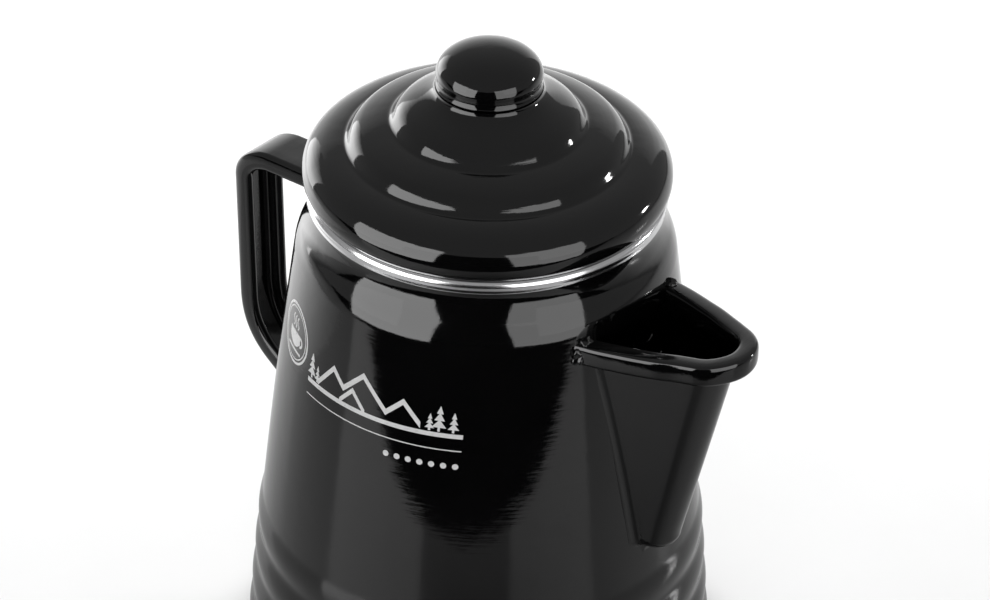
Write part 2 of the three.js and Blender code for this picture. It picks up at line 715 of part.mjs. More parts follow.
function basketSleeve() {
  const bore = TUBE_RADIUS + 2 * FIT_GAP;
  return tubeRing(bore, bore + INSERT_SHEET, BASKET_FLOOR, BASKET_TOP - SLEEVE_RECESS);
}

// Perforated plate with a turned-down skirt that drops over the basket's rim.
function basketCover() {
  const plate = BASKET_TOP + FIT_GAP;
  const hole = TUBE_RADIUS + 2 * FIT_GAP;
  const rim = COVER_RADIUS - INSERT_SHEET;
  const corner = [COVER_RADIUS - COVER_BEND, plate + INSERT_SHEET - COVER_BEND];
  const cover = revolve([
    [hole, plate],
    [rim, plate],
    [rim, plate - COVER_SKIRT],
    [COVER_RADIUS, plate - COVER_SKIRT],
    ...arcPoints(corner, COVER_BEND, 0, Math.PI / 2, 3),
    [hole, plate + INSERT_SHEET],
  ], SMALL_STEPS);
  return subtractAll(cover, sievePins(plate));
}

function coverCollar() {
  const bottom = BASKET_TOP + 2 * FIT_GAP + INSERT_SHEET;
  const bore = TUBE_RADIUS + 2 * FIT_GAP;
  return tubeRing(bore, bore + COVER_COLLAR.wall, bottom, bottom + COVER_COLLAR.height);
}

// ---- assembly -------------------------------------------------------------------------------

const percolator = new THREE.Group();
percolator.add(
  namedMesh('pot_shell', potShell(), enamel),
  namedMesh('base_plate', basePlate(), enamel),
  namedMesh('rim_band', rimBand(), rimSteel),
  namedMesh('spout', spout(), enamel),
  namedMesh('handle', handle(), enamel),
);

const lid = new THREE.Group();
lid.add(
  namedMesh('lid_shell', lidShell(), enamel),
  namedMesh('lid_collar', lidCollar(), enamel),
  namedMesh('knob_cap', knobCap(), enamel),
  namedMesh('knob_core', knobCore(), phenolic),
  namedMesh('knob_washer', knobWasher(), zincSteel),
  namedMesh('knob_screw', knobScrew(), zincSteel),
);
percolator.add(lid);

const insert = new THREE.Group();
insert.add(
  namedMesh('riser_tube', riserTube(), insertSteel),
  namedMesh('pump_foot', pumpFoot(), insertSteel),
  namedMesh('valve_cage', valveCage(), insertSteel),
  namedMesh('valve_disc', valveDisc(), insertSteel),
  namedMesh('basket_stop', basketStop(), insertSteel),
  namedMesh('basket_cup', basketCup(), insertSteel),
  namedMesh('basket_sleeve', basketSleeve(), insertSteel),
  namedMesh('basket_cover', basketCover(), insertSteel),
  namedMesh('cover_collar', coverCollar(), insertSteel),
);
percolator.add(insert);

export default percolator;
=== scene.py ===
"""Looks of the enamelled coffee percolator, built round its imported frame.

The outlines are drawn in millimetres, as the part's own dimensions are, and every mesh is
scaled to metres as it is made. The spout points along +X, the handle along -X, +Z is up.
"""
import json
from math import acos, asin, atan2, copysign, cos
from math import hypot, pi, radians, sin, sqrt, tan

import bmesh
import bpy
from mathutils import Matrix, Quaternion, Vector, noise


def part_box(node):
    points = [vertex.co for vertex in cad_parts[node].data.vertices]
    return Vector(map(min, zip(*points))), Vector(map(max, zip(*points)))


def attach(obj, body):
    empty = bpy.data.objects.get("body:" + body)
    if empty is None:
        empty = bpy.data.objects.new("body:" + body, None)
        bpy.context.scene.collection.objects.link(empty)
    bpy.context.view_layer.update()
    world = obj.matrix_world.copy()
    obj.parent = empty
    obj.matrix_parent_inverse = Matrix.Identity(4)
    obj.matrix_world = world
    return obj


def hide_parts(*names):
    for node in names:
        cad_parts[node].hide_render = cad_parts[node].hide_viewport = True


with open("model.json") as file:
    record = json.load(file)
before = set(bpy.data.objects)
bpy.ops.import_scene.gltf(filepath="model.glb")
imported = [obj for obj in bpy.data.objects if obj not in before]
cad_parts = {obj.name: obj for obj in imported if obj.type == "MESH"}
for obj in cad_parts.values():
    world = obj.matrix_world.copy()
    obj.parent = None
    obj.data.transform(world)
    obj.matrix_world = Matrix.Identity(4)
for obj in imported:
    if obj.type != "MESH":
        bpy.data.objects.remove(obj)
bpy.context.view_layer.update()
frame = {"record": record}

MM = 0.001
UP = Vector((0, 0, 1))

# ---- camera and studio ----

CAMERA_AZIMUTH = 39  # in degrees, as its elevation is
CAMERA_ELEVATION = 32.4
CAMERA_DISTANCE = 1.4
CAMERA_ROLL = radians(1.18)
CAMERA_LENS = 154.27
AIM_PAN = radians(0.104)  # the lid's edge sits this far left of the picture's middle
AIM_TILT = radians(1.596)  # and this far above it
WORLD_IN_GLOSS = 0.33  # strength of the even light all round, as gloss reflects it
WORLD_ON_MATT = 0.10  # and as it lights everything else
LIGHT_AIM = 0.1  # height of the point on the pot's axis that the lights face
SOFTBOX_DISTANCE = 0.47
SOFTBOX_CENTRE = 0.23
SOFTBOX_HEIGHT = 0.42
SOFTBOXES = (  # name, degrees to the right of the camera, width, radiance
    ("left_softbox", -52, 0.45, 4.3),
    ("right_softbox", 34.5, 0.36, 2.7),
)
FLASH_DISTANCE = 1.1
FILL_DISTANCE = 1.7
TOP_EDGE = 0.265  # from the pot's axis to the white top's front edge, past which gloss sees painted black
TOP_EDGE_SIDE = -9.0  # degrees to the right of the camera that the edge faces
TOP_SHADE_IN_GLOSS = 0.40  # painted shade: colour that gloss sees on the white top in front of the pot, darker than the top itself
TOP_SHEEN = 0.4
FLOOR_SIZE = 20
NEAR_BLACK = 0.004
FLAG_DISTANCE = 1.0  # the dark card past the white top's edge: a painted dark reflection that only gloss sees
FLAG_HALF_WIDTH = 0.8
FLAG_HEIGHT = 0.6
BACK_WALL_DISTANCE = 1.2
STRIP_SIDE = -136  # degrees to the right of the camera, seen from the pot
POOL_START = 0.25  # from the pot's axis to the strip's pool of light
POOL_HALF_WIDTH = 0.35

# ---- driving dimensions, in millimetres ----


def low(node):
    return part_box(node)[0] / MM


def high(node):
    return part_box(node)[1] / MM


def span(node):
    """Outer radius, bottom and top of a turned CAD node."""
    return high(node).x, low(node).z, high(node).z


SHEET = 1.2  # enamelled sheet
WELD_DEPTH = 0.45  # how far the spout and handle sink into the wall
TRIM_MARGIN = 10  # how far a cutting solid runs on past what it cuts
SEAM_HEIGHT = high("base_plate").z
SEAM_RADIUS = 80.0
TAPER_HEIGHT = 163.5  # height at which the taper's upper radius is stated
TAPER_RADIUS = 63.2
WALL_BELLY = 1.15
RIPPLE_TOP = 59.0
RIPPLE_PITCH = 14.0
RIPPLE_DEPTH = 0.9
RIPPLE_SOFTNESS = 0.35
SHOULDER_START = 159.0
SHOULDER_MIDDLE = (61.2, 167.0)
SHOULDER_LEAN = radians(29)
SHOULDER_PULL = 2.8
NECK_RADIUS = 58.5
NECK_HEIGHT = 175.5
BASE_BEND = 5.0
BASE_DISH = ((0, 0.7), (58, 0.7), (60, 0.55), (62, 0.1), (64, 0))  # the underside, from the axis

RIM_RADIUS = 57.4
RIM_HEIGHT = 180.3
RIM_ROLL = 1.9
BAND_OUTER = 2.7
BAND_SHEET = 0.5

SPOUT_ROOT_X = 60.0
SPOUT_TOP = dict(height=154.0, keel_x=103.2, keel_radius=10.3, half_width=19.8)
SPOUT_FOOT = dict(height=76.5, keel_x=84.4, keel_radius=8.0, half_width=11.6)
SPOUT_FLOOR_BEND = 5.0
SPOUT_FILLET = 3.4
SPOUT_INNER_FILLET = 1.5
SPOUT_BACK_X = 50.0
WALL_CONTACT_X = 65.0  # about where the trough's sides meet the wall
LIP_RISE = 0.09
LIP_HALF_WIDTH = 3.5
LIP_HALF_HEIGHT = 3.9
LIP_SIDE_LENGTH = 42.0
LIP_SQUARENESS = 0.45
LIP_BOW = 1.2  # how far the long sides bow out
LIP_WOBBLE = 0.3
WELD_BEADS = (  # place beside the lip's end and half sizes along each axis
    (59.6, 24.4, 153.4, (2.6, 2.9, 3.6)),
    (60.4, 22.6, 157.2, (2.2, 2.4, 2.2)),
)
STRAINER_HOLE = 2.4
STRAINER_ROWS = ((148.7, 4), (139.7, 3), (130.7, 2), (121.7, 1))
STRAINER_SPACING = 10.4

HANDLE_LINE = (  # distance from the axis and height of the strap's outer line
    (60.0, 161.4),  # top end
    (90.0, 160.2),  # start of the top corner
    (105.7, 146.5),  # top of the grip
    (104.2, 99.0),  # bottom of the grip
    (91.5, 74.2),  # end of the low corner
    (71.0, 59.5),  # low end
)
CORNER_PULL = 0.38
STRAP_HALF_WIDTH = high("handle").y
STRAP_DEPTH = 6.9
STRAP_SHEET = 1.6
STRAP_CURL = 4.0
STRAP_FILLET = 2.0  # inside the curled edges

LID_SEAT = low("lid_shell").z
LID_SHEET = 1.1
LID_BOSS_RADIUS = 17.8
LID_BOSS_HEIGHT = 37.2
LID_HOLE = 2.6

KNOB_SEAT = low("knob_cap").z
KNOB_RADIUS = high("knob_cap").x
KNOB_WALL = 4.4
KNOB_DOME = 9.6
KNOB_FLATNESS = 0.9
KNOB_SHEET = 1.2

COLLAR_SHEET = 0.8
SCREW_BORE = 2.3
SCREW_RADIUS = 2.0
THREAD_ROOT = 1.7
THREAD_PITCH = 0.7
SCREW_HEAD = 2.2

INSERT_SHEET = 0.8
TUBE_RADIUS = high("riser_tube").x
TUBE_BORE = 4.1
TUBE_SLOT = (14, 2, 3)
SLIDING_GAP = 0.6  # between the tube and what slides on it
PRESSED_GAP = 0.3  # between the tube and what is pressed on it
FOOT_NOTCHES = 8
FOOT_NOTCH_RADIUS = 2.2
CAGE_HOLE = 3.0
CAGE_BEND = 2.0
BASKET_WALL = 38.0
BASKET_CURL = 1.6
BASKET_BEND = 3.0
COVER_BEND = 2.0
SIEVE_HOLE = 1.0
SIEVE_RINGS = ((12, 10), (17, 14), (22, 19), (27, 23), (32, 27))  # radius and number of holes

# The decoration is drawn in distances along the wall from straight ahead of -Y, and heights.
PRINT_LIFT = 0.03
PRINT_THICKNESS = 0.05
PRINT_STEP = 1.5
PRINT_SPAN = (-23, 40)
GROUND_BAR = (126.8, 128.4)
RULE = (122.1, 122.5)
HILLS = ((-17.0, 130.6), (-9.5, 139.4), (-4.5, 134.6), (3.5, 142.4), (13.0, 132.6), (19.0, 138.2),
         (25.5, 131.2))
HILL_STROKE = 2.3
FIR_FOOT = 128.8
FIRS = ((-21.0, 9.0), (-17.6, 6.0), (28.6, 6.2), (31.8, 9.4), (36.6, 7.4))  # place and height
TENT = ((-6.0, 129.2), (-0.5, 135.2), (5.0, 129.2))
TENT_STROKE = 2.0
BADGE = (-35.6, 137.1)
DOT_COUNT = 7
DOT_PITCH = 4.0
FIRST_DOT = (14.5, 116.5)
DOT_RADII = (0.02, 1.05)

ROUND_STEPS = 288  # facets round the pot and lid
RIM_STEPS = 720  # facets round the bright band, whose sharp reflections show them
SMALL_STEPS = 128  # facets round the insert and knob
SCREW_STEPS = 64


# ---- shape helpers ----

def arc(centre, radius, start, end, count):
    """Points on an arc between two angles in radians."""
    turns = [start + (end - start) * i / count for i in range(count + 1)]
    return [(centre[0] + radius * cos(a), centre[1] + radius * sin(a)) for a in turns]


def bezier(points, count):
    """Points on a cubic curve, without its first one."""
    p0, p1, p2, p3 = (Vector(p) for p in points)
    found = []
    for i in range(1, count + 1):
        t = i / count
        u = 1 - t
        found.append(p0 * u**3 + p1 * 3 * u * u * t + p2 * 3 * u * t * t + p3 * t**3)
    return found


def offset(profile, distance):
    """The profile moved sideways, to its left for a positive distance."""
    moved = []
    for i, (r, z) in enumerate(profile):
        before = profile[max(i - 1, 0)]
        after = profile[min(i + 1, len(profile) - 1)]
        along = Vector((after[0] - before[0], after[1] - before[1])).normalized()
        moved.append((r - along.y * distance, z + along.x * distance))
    return moved


def add_object(name, data):
    """Puts a mesh, a light or a camera into the scene."""
    made = bpy.data.objects.new(name, data)
    bpy.context.scene.collection.objects.link(made)
    return made


def mesh_data(name, mesh):
    """Turns a drawing in millimetres into mesh data in metres, with its faces outward."""
    bmesh.ops.recalc_face_normals(mesh, faces=mesh.faces)
    data = bpy.data.meshes.new(name)
    mesh.to_mesh(data)
    mesh.free()
    data.transform(Matrix.Scale(MM, 4))
    return data


def crease(piece, sharp):
    """Keeps the edges that turn more than an angle in degrees from being shaded smooth."""
    piece.data.set_sharp_from_angle(angle=radians(sharp))


def finish_mesh(name, mesh, body, slot, material, *nodes, sharp=None):
    """Makes a mesh a smooth piece of one material and hands it to a CAD body."""
    data = mesh_data(name, mesh)
    data.materials.append(material)
    data.shade_smooth()
    piece = add_object(name, data)
    if sharp is not None:
        crease(piece, sharp)
    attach(piece, body)
    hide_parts(*nodes)
    return piece


def lathe_mesh(outline, steps):
    """A closed outline of (radius, height) pairs turned about Z. It may start and end on the axis."""
    mesh = bmesh.new()
    rings = []
    for r, z in outline:
        if r < 1e-6:
            rings.append([mesh.verts.new((0, 0, z))])
            continue
        turns = [2 * pi * i / steps for i in range(steps)]
        rings.append([mesh.verts.new((r * cos(a), r * sin(a), z)) for a in turns])
    pairs = list(zip(rings, rings[1:]))
    if len(rings[0]) > 1:
        pairs.append((rings[-1], rings[0]))
    for lower, upper in pairs:
        for i in range(steps):
            j = (i + 1) % steps
            corners = [lower[i % len(lower)], lower[j % len(lower)]]
            corners += [upper[j % len(upper)], upper[i % len(upper)]]
            corners = list(dict.fromkeys(corners))
            if len(corners) > 2:
                mesh.faces.new(corners)
    return mesh


def merge(mesh, other):
    """Moves one mesh's faces into another."""
    data = bpy.data.meshes.new("part")
    other.to_mesh(data)
    other.free()
    mesh.from_mesh(data)
    bpy.data.meshes.remove(data)


def ring_outline(inner, outer, bottom, top, bend):
    """A rectangular section with its four corners rounded."""
    quarter = pi / 2
    corners = (  # radius, height, the way in from each, and the quarter turn that the arc starts at
        (inner, bottom, 1, 1, 2),
        (outer, bottom, -1, 1, 3),
        (outer, top, -1, -1, 0),
        (inner, top, 1, -1, 1),
    )
    points = []
    for r, z, dr, dz, turn in corners:
        points += arc((r + dr * bend, z + dz * bend), bend, turn * quarter, (turn + 1) * quarter, 4)
    return points


def loft_mesh(rings):
    """Skin over a stack of closed rings with equal numbers of points, capped at both ends."""
    mesh = bmesh.new()
    rows = [[mesh.verts.new(p) for p in ring] for ring in rings]
    count = len(rows[0])
    for lower, upper in zip(rows, rows[1:]):
        for i in range(count):
            j = (i + 1) % count
            mesh.faces.new((lower[i], lower[j], upper[j], upper[i]))
    mesh.faces.new(rows[0])
    mesh.faces.new(rows[-1])
    return mesh


def cut(piece, cutter_mesh, operation="DIFFERENCE"):
    """Subtracts a closed mesh from a piece, or joins it on."""
    cutter = add_object("cutter", mesh_data("cutter", cutter_mesh))
    boolean = piece.modifiers.new("holes", "BOOLEAN")
    boolean.object = cutter
    boolean.operation = operation
    boolean.solver = "EXACT"
    depsgraph = bpy.context.evaluated_depsgraph_get()
    result = bpy.data.meshes.new_from_object(piece.evaluated_get(depsgraph))
    piece.modifiers.clear()
    piece.data = result
    bpy.data.objects.remove(cutter)


# ---- material helpers ----

class Nodes:
    """A short way to write a node tree."""

    def __init__(self, name):
        self.material = bpy.data.materials.new(name)
        self.material.use_nodes = True
        self.tree = self.material.node_tree
        self.shader = self.tree.nodes["Principled BSDF"]

    def feed(self, socket, value):
        """Links a socket to another one, or gives it a plain value."""
        if isinstance(value, bpy.types.NodeSocket):
            self.tree.links.new(value, socket)
        else:
            socket.default_value = value

    def add(self, kind, inputs=None, **settings):
        node = self.tree.nodes.new("ShaderNode" + kind)
        for key, value in settings.items():
            setattr(node, key, value)
        for key, value in (inputs or {}).items():
            self.feed(node.inputs[key], value)
        return node

    def set(self, **inputs):
        for key, value in inputs.items():
            self.feed(self.shader.inputs[key.replace("_", " ")], value)

    def noise(self, scale, vector, detail=3.0, roughness=0.55):
        inputs = {"Vector": vector, "Scale": scale, "Detail": detail, "Roughness": roughness}
        return self.add("TexNoise", inputs).outputs["Fac"]

    def spread(self, value, low_out, high_out, low_in=0.3, high_in=0.7):
        """A value carried from one range to another; the first range suits a noise."""
        inputs = {"Value": value, "From Min": low_in, "From Max": high_in}
        inputs |= {"To Min": low_out, "To Max": high_out}
        return self.add("MapRange", inputs).outputs["Result"]

    def blend(self, share, first, second):
        """A colour between two others, each of them three numbers or a socket."""
        ends = [c if isinstance(c, bpy.types.NodeSocket) else (*c, 1) for c in (first, second)]
        inputs = {"Fac": share, "Color1": ends[0], "Color2": ends[1]}
        return self.add("MixRGB", inputs).outputs["Color"]

    def combine(self, operation, *values):
        return self.add("Math", dict(enumerate(values)), operation=operation).outputs["Value"]

    def bump(self, height, distance, strength=1.0, normal=None):
        inputs = {"Height": height, "Distance": distance, "Strength": strength}
        if normal is not None:
            inputs["Normal"] = normal
        return self.add("Bump", inputs).outputs["Normal"]

    def place(self):
        """Object coordinates, in metres."""
        return self.add("TexCoord").outputs["Object"]

    def distance_along(self, direction):
        """How far a point lies from the pot's axis in one direction, in metres."""
        dot = self.add("VectorMath", {0: self.place(), 1: direction}, operation="DOT_PRODUCT")
        return dot.outputs["Value"]

    def lathe_coordinates(self, around, upward):
        """(turn about Z, distance from Z, height), for marks that run round a turned piece."""
        split = self.add("SeparateXYZ", {"Vector": self.place()}).outputs
        turn = self.combine("ARCTAN2", split["Y"], split["X"])
        flat = self.add("CombineXYZ", {"X": split["X"], "Y": split["Y"]}).outputs[0]
        radius = self.add("VectorMath", {0: flat}, operation="LENGTH").outputs["Value"]
        joined = self.add("CombineXYZ", {"X": turn, "Y": radius, "Z": split["Z"]}).outputs[0]
        inputs = {"Vector": joined, "Scale": (around, upward, upward)}
        return self.add("Mapping", inputs).outputs["Vector"]


def scaled(colour, factor):
    return [channel * factor for channel in colour]


def enamel(name, base):
    """Deep black vitreous enamel: glassy, with faint specks, orange peel and forming rings."""
    nodes = Nodes(name)
    even = nodes.place()
    rings = nodes.lathe_coordinates(2.5, 900)
    pebbles = nodes.noise(420, even, detail=2)
    swell = nodes.noise(55, even, detail=2)
    forming = nodes.noise(1, rings, detail=4, roughness=0.6)
    first = nodes.bump(swell, 0.00012)
    second = nodes.bump(pebbles, 0.000012, normal=first)
    third = nodes.bump(forming, 0.000018, normal=second)
    tint = nodes.spread(nodes.noise(30, even), 0.0, 1.0)
    cells = nodes.add("TexVoronoi", {"Vector": even, "Scale": 240.0}).outputs["Distance"]
    speck = nodes.spread(cells, 1.0, 0.0, low_in=0.02, high_in=0.06)
    shade = nodes.blend(tint, base, scaled(base, 1.6))
    dotted = nodes.blend(speck, shade, [NEAR_BLACK] * 3)
    nodes.set(Base_Color=dotted, Roughness=nodes.spread(swell, 0.035, 0.075), Normal=third)
    nodes.set(IOR=1.52, Metallic=0.0)
    return nodes.material


def turned_steel(name, base, rough, around, upward, depth):
    """Steel finished on a lathe, with fine marks that run round it, cut to a depth in metres."""
    nodes = Nodes(name)
    rings = nodes.lathe_coordinates(around, upward)
    marks = nodes.noise(1, rings, detail=2)
    smudge = nodes.noise(60, nodes.place())
    tone = nodes.spread(marks, 0.0, 1.0)
    shade = nodes.blend(tone, scaled(base, 0.86), base)
    rough_now = nodes.spread(smudge, rough * 0.85, rough * 1.2)
    nodes.set(Base_Color=shade, Roughness=rough_now, Metallic=1.0)
    if depth:
        nodes.set(Normal=nodes.bump(marks, depth))
    return nodes.material


def phenolic(name, base):
    """Moulded dark plastic with a faint grain."""
    nodes = Nodes(name)
    grain = nodes.noise(900, nodes.place(), detail=4)
    shade = nodes.blend(grain, base, scaled(base, 1.8))
    nodes.set(Base_Color=shade, Roughness=nodes.spread(grain, 0.42, 0.6))
    nodes.set(Normal=nodes.bump(grain, 0.00002))
    return nodes.material


def print_ink(name):
    """Fired off-white decal ink, a little matt and faintly mottled."""
    nodes = Nodes(name)
    mottle = nodes.noise(700, nodes.place(), detail=4)
    shade = nodes.blend(mottle, [0.62] * 3, [0.78] * 3)
    nodes.set(Base_Color=shade, Roughness=nodes.spread(mottle, 0.25, 0.4))
    nodes.set(Normal=nodes.bump(mottle, 0.000005))
    return nodes.material


ENAMEL_BLACK = (0.0016, 0.0016, 0.0017)
COLOURS = {m["slot"]: m["base_color"][:3] for m in frame["record"]["materials"]}
ENAMEL = enamel("black_enamel", ENAMEL_BLACK)
MARK_DEPTH = 0.00001
RIM_STEEL = turned_steel("bright_rim_steel", COLOURS["rim_steel"], 0.17, 0.3, 200, 0)
INSERT_STEEL = turned_steel("satin_insert_steel", COLOURS["insert_steel"], 0.28, 4, 2500, MARK_DEPTH)
ZINC = turned_steel("zinc_plate", COLOURS["fastener_steel"], 0.35, 6, 1500, MARK_DEPTH)
PHENOLIC = phenolic("phenolic_core", COLOURS["knob_core_plastic"])
INK = print_ink("decal_ink")


# ---- pot body ----

def ripple_bulge(height):
    if height >= RIPPLE_TOP:
        return 0.0
    wave = sin(pi * (RIPPLE_TOP - height) / RIPPLE_PITCH)
    soft = hypot(wave, RIPPLE_SOFTNESS) - RIPPLE_SOFTNESS
    return RIPPLE_DEPTH * soft / (hypot(1, RIPPLE_SOFTNESS) - RIPPLE_SOFTNESS)


def wall_radius(height):
    """Outer radius of the wall between the base seam and the shoulder."""
    rise = (height - SEAM_HEIGHT) / (TAPER_HEIGHT - SEAM_HEIGHT)
    taper = SEAM_RADIUS + (TAPER_RADIUS - SEAM_RADIUS) * rise
    return taper + WALL_BELLY * 4 * rise * (1 - rise) + ripple_bulge(height)


WALL_LEAN = atan2(SEAM_RADIUS - TAPER_RADIUS, TAPER_HEIGHT - SEAM_HEIGHT)


def leaning(point, lean, distance):
    """The point a distance ahead of another on a line that leans in from upright."""
    return (point[0] - sin(lean) * distance, point[1] + cos(lean) * distance)


def shoulder_curve():
    """S-curve from the top of the wall to the upright neck."""
    start = (wall_radius(SHOULDER_START), SHOULDER_START)
    neck = (NECK_RADIUS, NECK_HEIGHT)
    rise = (start, leaning(start, WALL_LEAN, SHOULDER_PULL),
            leaning(SHOULDER_MIDDLE, SHOULDER_LEAN, -SHOULDER_PULL), SHOULDER_MIDDLE)
    throat = (SHOULDER_MIDDLE, leaning(SHOULDER_MIDDLE, SHOULDER_LEAN, SHOULDER_PULL),
              leaning(neck, 0, -SHOULDER_PULL), neck)
    return [start] + bezier(rise, 20) + bezier(throat, 20)


def pot_outline(inset):
    """The wall, the shoulder and the neck, from the seam up, moved in by an inset."""
    bottom = low("pot_shell").z
    heights = []
    height = bottom
    while height < SHOULDER_START - 0.5:
        heights.append(height)
        height += 1.0 if height < RIPPLE_TOP + 2 else 3.0
    profile = [(wall_radius(h), h) for h in heights] + shoulder_curve()
    moved = offset(profile, inset)
    moved[0] = (moved[0][0], bottom)
    return moved


def strainer_cutters():
    """Waisted rods that punch the strainer holes, with the edges that the enamel rounds off."""
    mesh = bmesh.new()
    flare = STRAINER_HOLE + 2.5
    waist = arc((STRAINER_HOLE + 1, 0), 1, 1.25 * pi, 0.75 * pi, 8)
    outline = [(0, -3), (flare, -3), *waist, (flare, 3), (0, 3)]
    for height, holes in STRAINER_ROWS:
        for i in range(holes):
            across = (i - (holes - 1) / 2) * STRAINER_SPACING
            turn = Matrix.Rotation(across / wall_radius(height), 4, "Z")
            reach = Matrix.Translation((wall_radius(height) - SHEET / 2, 0, height))
            rod = lathe_mesh(outline, 40)
            rod.transform(turn @ reach @ Matrix.Rotation(pi / 2 - WALL_LEAN, 4, "Y"))
            merge(mesh, rod)
    return mesh


def enamel_piece(name, mesh, node, body="pot", sharp=None):
    return finish_mesh(name, mesh, body, "enamel_black", ENAMEL, node, sharp=sharp)


def make_wall():
    """The pot's wall with its ripples, shoulder, rolled bead and strainer holes."""
    outer = pot_outline(0)
    inner = pot_outline(SHEET)[::-1]
    start = -acos((outer[-1][0] - RIM_RADIUS) / RIM_ROLL)
    end = 2 * pi - acos((inner[0][0] - RIM_RADIUS) / RIM_ROLL)
    bead = arc((RIM_RADIUS, RIM_HEIGHT), RIM_ROLL, start, end, 24)
    mesh = lathe_mesh(outer + bead + inner, ROUND_STEPS)
    piece = enamel_piece("pot_body", mesh, "pot_shell", sharp=50)
    cut(piece, strainer_cutters())
    crease(piece, 50)


def make_base():
    seam = wall_radius(SEAM_HEIGHT)
    corner = (seam - BASE_BEND, BASE_BEND)
    outer = arc(corner, BASE_BEND, -pi / 2, 0, 12)
    inner = arc(corner, BASE_BEND - SHEET, 0, -pi / 2, 10)
    edge = [(seam, SEAM_HEIGHT), (seam - SHEET, SEAM_HEIGHT)]
    mesh = lathe_mesh([*BASE_DISH, *outer, *edge, *inner, (0, SHEET + 0.6)], ROUND_STEPS)
    enamel_piece("pot_base", mesh, "base_plate", sharp=50)


def make_rim():
    """Bright band rolled over the rim: a round top, then a short skirt with a turned lower edge."""
    radius, skirt, top = span("rim_band")
    centre = (RIM_RADIUS, RIM_HEIGHT)
    roll = arc(centre, BAND_OUTER, radians(14), radians(228), 60)
    inside = arc(centre, BAND_OUTER - BAND_SHEET, radians(228), radians(-20), 30)
    turned_edge = ((1.1, 0.35), (0.75, 0.02), (0.35, 0.1), (0.25, 0.45), (0.42, 0.9), (0.3, 1.6))
    edge = [(radius - inset, skirt + rise) for inset, rise in turned_edge]
    outline = [(min(r, radius), min(z, top)) for r, z in edge + roll + inside]
    mesh = lathe_mesh(outline, RIM_STEPS)
    finish_mesh("rim_ring", mesh, "pot", "rim_steel", RIM_STEEL, "rim_band", sharp=60)


# ---- spout ----

SECTION_KEYS = ("height", "keel_x", "keel_radius", "half_width")


def mixed(first, second, share):
    """The spout section that lies between two others."""
    return {key: first[key] + (second[key] - first[key]) * share for key in SECTION_KEYS}


def shrunk(section, inset):
    """A spout section moved in on all sides."""
    smaller = {key: section[key] - inset for key in SECTION_KEYS}
    smaller["height"] = section["height"]
    return smaller


def side_angle(section):
    """Angle between a side of the trough and the XZ plane."""
    run = section["keel_x"] - section["keel_radius"] - SPOUT_ROOT_X
    width = section["half_width"]
    return atan2(width, run) - asin(section["keel_radius"] / hypot(run, width))


def side_to_wall(section, fillet):
    """One side from the keel back to the wall, ending in a round fillet, for positive Y."""
    angle = side_angle(section)
    keel = Vector((section["keel_x"] - section["keel_radius"], 0))
    back = Vector((-cos(angle), sin(angle)))
    outward = Vector((sin(angle), cos(angle)))
    start = keel + outward * section["keel_radius"]
    contact = wall_radius(section["height"] + LIP_RISE * (WALL_CONTACT_X - SPOUT_ROOT_X))
    first = start + outward * fillet
    along = first.dot(back)
    reach = -along - sqrt(along**2 - first.length_squared + (contact + abs(fillet)) ** 2)
    centre = first + back * reach
    points = [start + back * reach * i / 10 for i in range(1, 10)]
    inward = -outward * copysign(1, fillet)
    towards = -centre.normalized()
    turn = inward.angle_signed(towards)
    for i in range(9):
        spoke = Matrix.Rotation(-turn * i / 8, 2) @ inward
        points.append(centre + spoke * abs(fillet))
    points.append(points[-1].normalized() * (contact - 1.0))
    return points


def trough_ring(section, fillet):
    """One level of the trough as a closed ring of points whose back lies inside the wall."""
    turn = pi / 2 - side_angle(section)
    centre = (section["keel_x"] - section["keel_radius"], 0)
    keel = [Vector(p) for p in arc(centre, section["keel_radius"], -turn, turn, 28)]
    side = side_to_wall(section, fillet)
    mirrored = [Vector((p.x, -p.y)) for p in reversed(side)]
    back = Vector((SPOUT_BACK_X, side[-1].y))
    return [Vector((back.x, -back.y)), *mirrored, *keel, *side, back]


def lifted(ring, height):
    """Ring points as 3-D points on the spout's climbing levels."""
    return [(p.x, p.y, height + LIP_RISE * (p.x - SPOUT_ROOT_X)) for p in ring]


def trough_mesh(inset, fillet, above):
    """The trough as a closed solid with a rounded floor that blends into the wall under it."""
    bend = SPOUT_FLOOR_BEND - inset
    rings = []
    for i in range(13):
        turn = pi / 2 * (1 - i / 12)
        section = shrunk(SPOUT_FOOT, inset + bend * (1 - cos(turn)))
        section["height"] = SPOUT_FOOT["height"] - bend * sin(turn)
        rings.append((trough_ring(section, fillet), section["height"]))
    if fillet > 0:
        lowest, height = rings[0]
        under = []
        for i in range(1, 9):
            turn = pi / 2 * i / 8
            depth = fillet * sin(turn)
            limit = wall_radius(height - depth) + fillet - sqrt(fillet**2 - (fillet - depth) ** 2)
            kept = [p if p.length < limit else p.normalized() * limit for p in lowest]
            under.append((kept, height - depth))
        rings = under[::-1] + rings
    foot = shrunk(SPOUT_FOOT, inset)
    top = shrunk(SPOUT_TOP, inset)
    rise = 1 + above / (SPOUT_TOP["height"] - SPOUT_FOOT["height"])
    for i in range(1, 31):
        section = mixed(foot, top, rise * i / 30)
        rings.append((trough_ring(section, fillet), section["height"]))
    return loft_mesh([lifted(ring, height) for ring, height in rings])


def squared(share):
    """A sine or cosine drawn out towards one, which squares an oval's corners."""
    return copysign(abs(share) ** LIP_SQUARENESS, share)


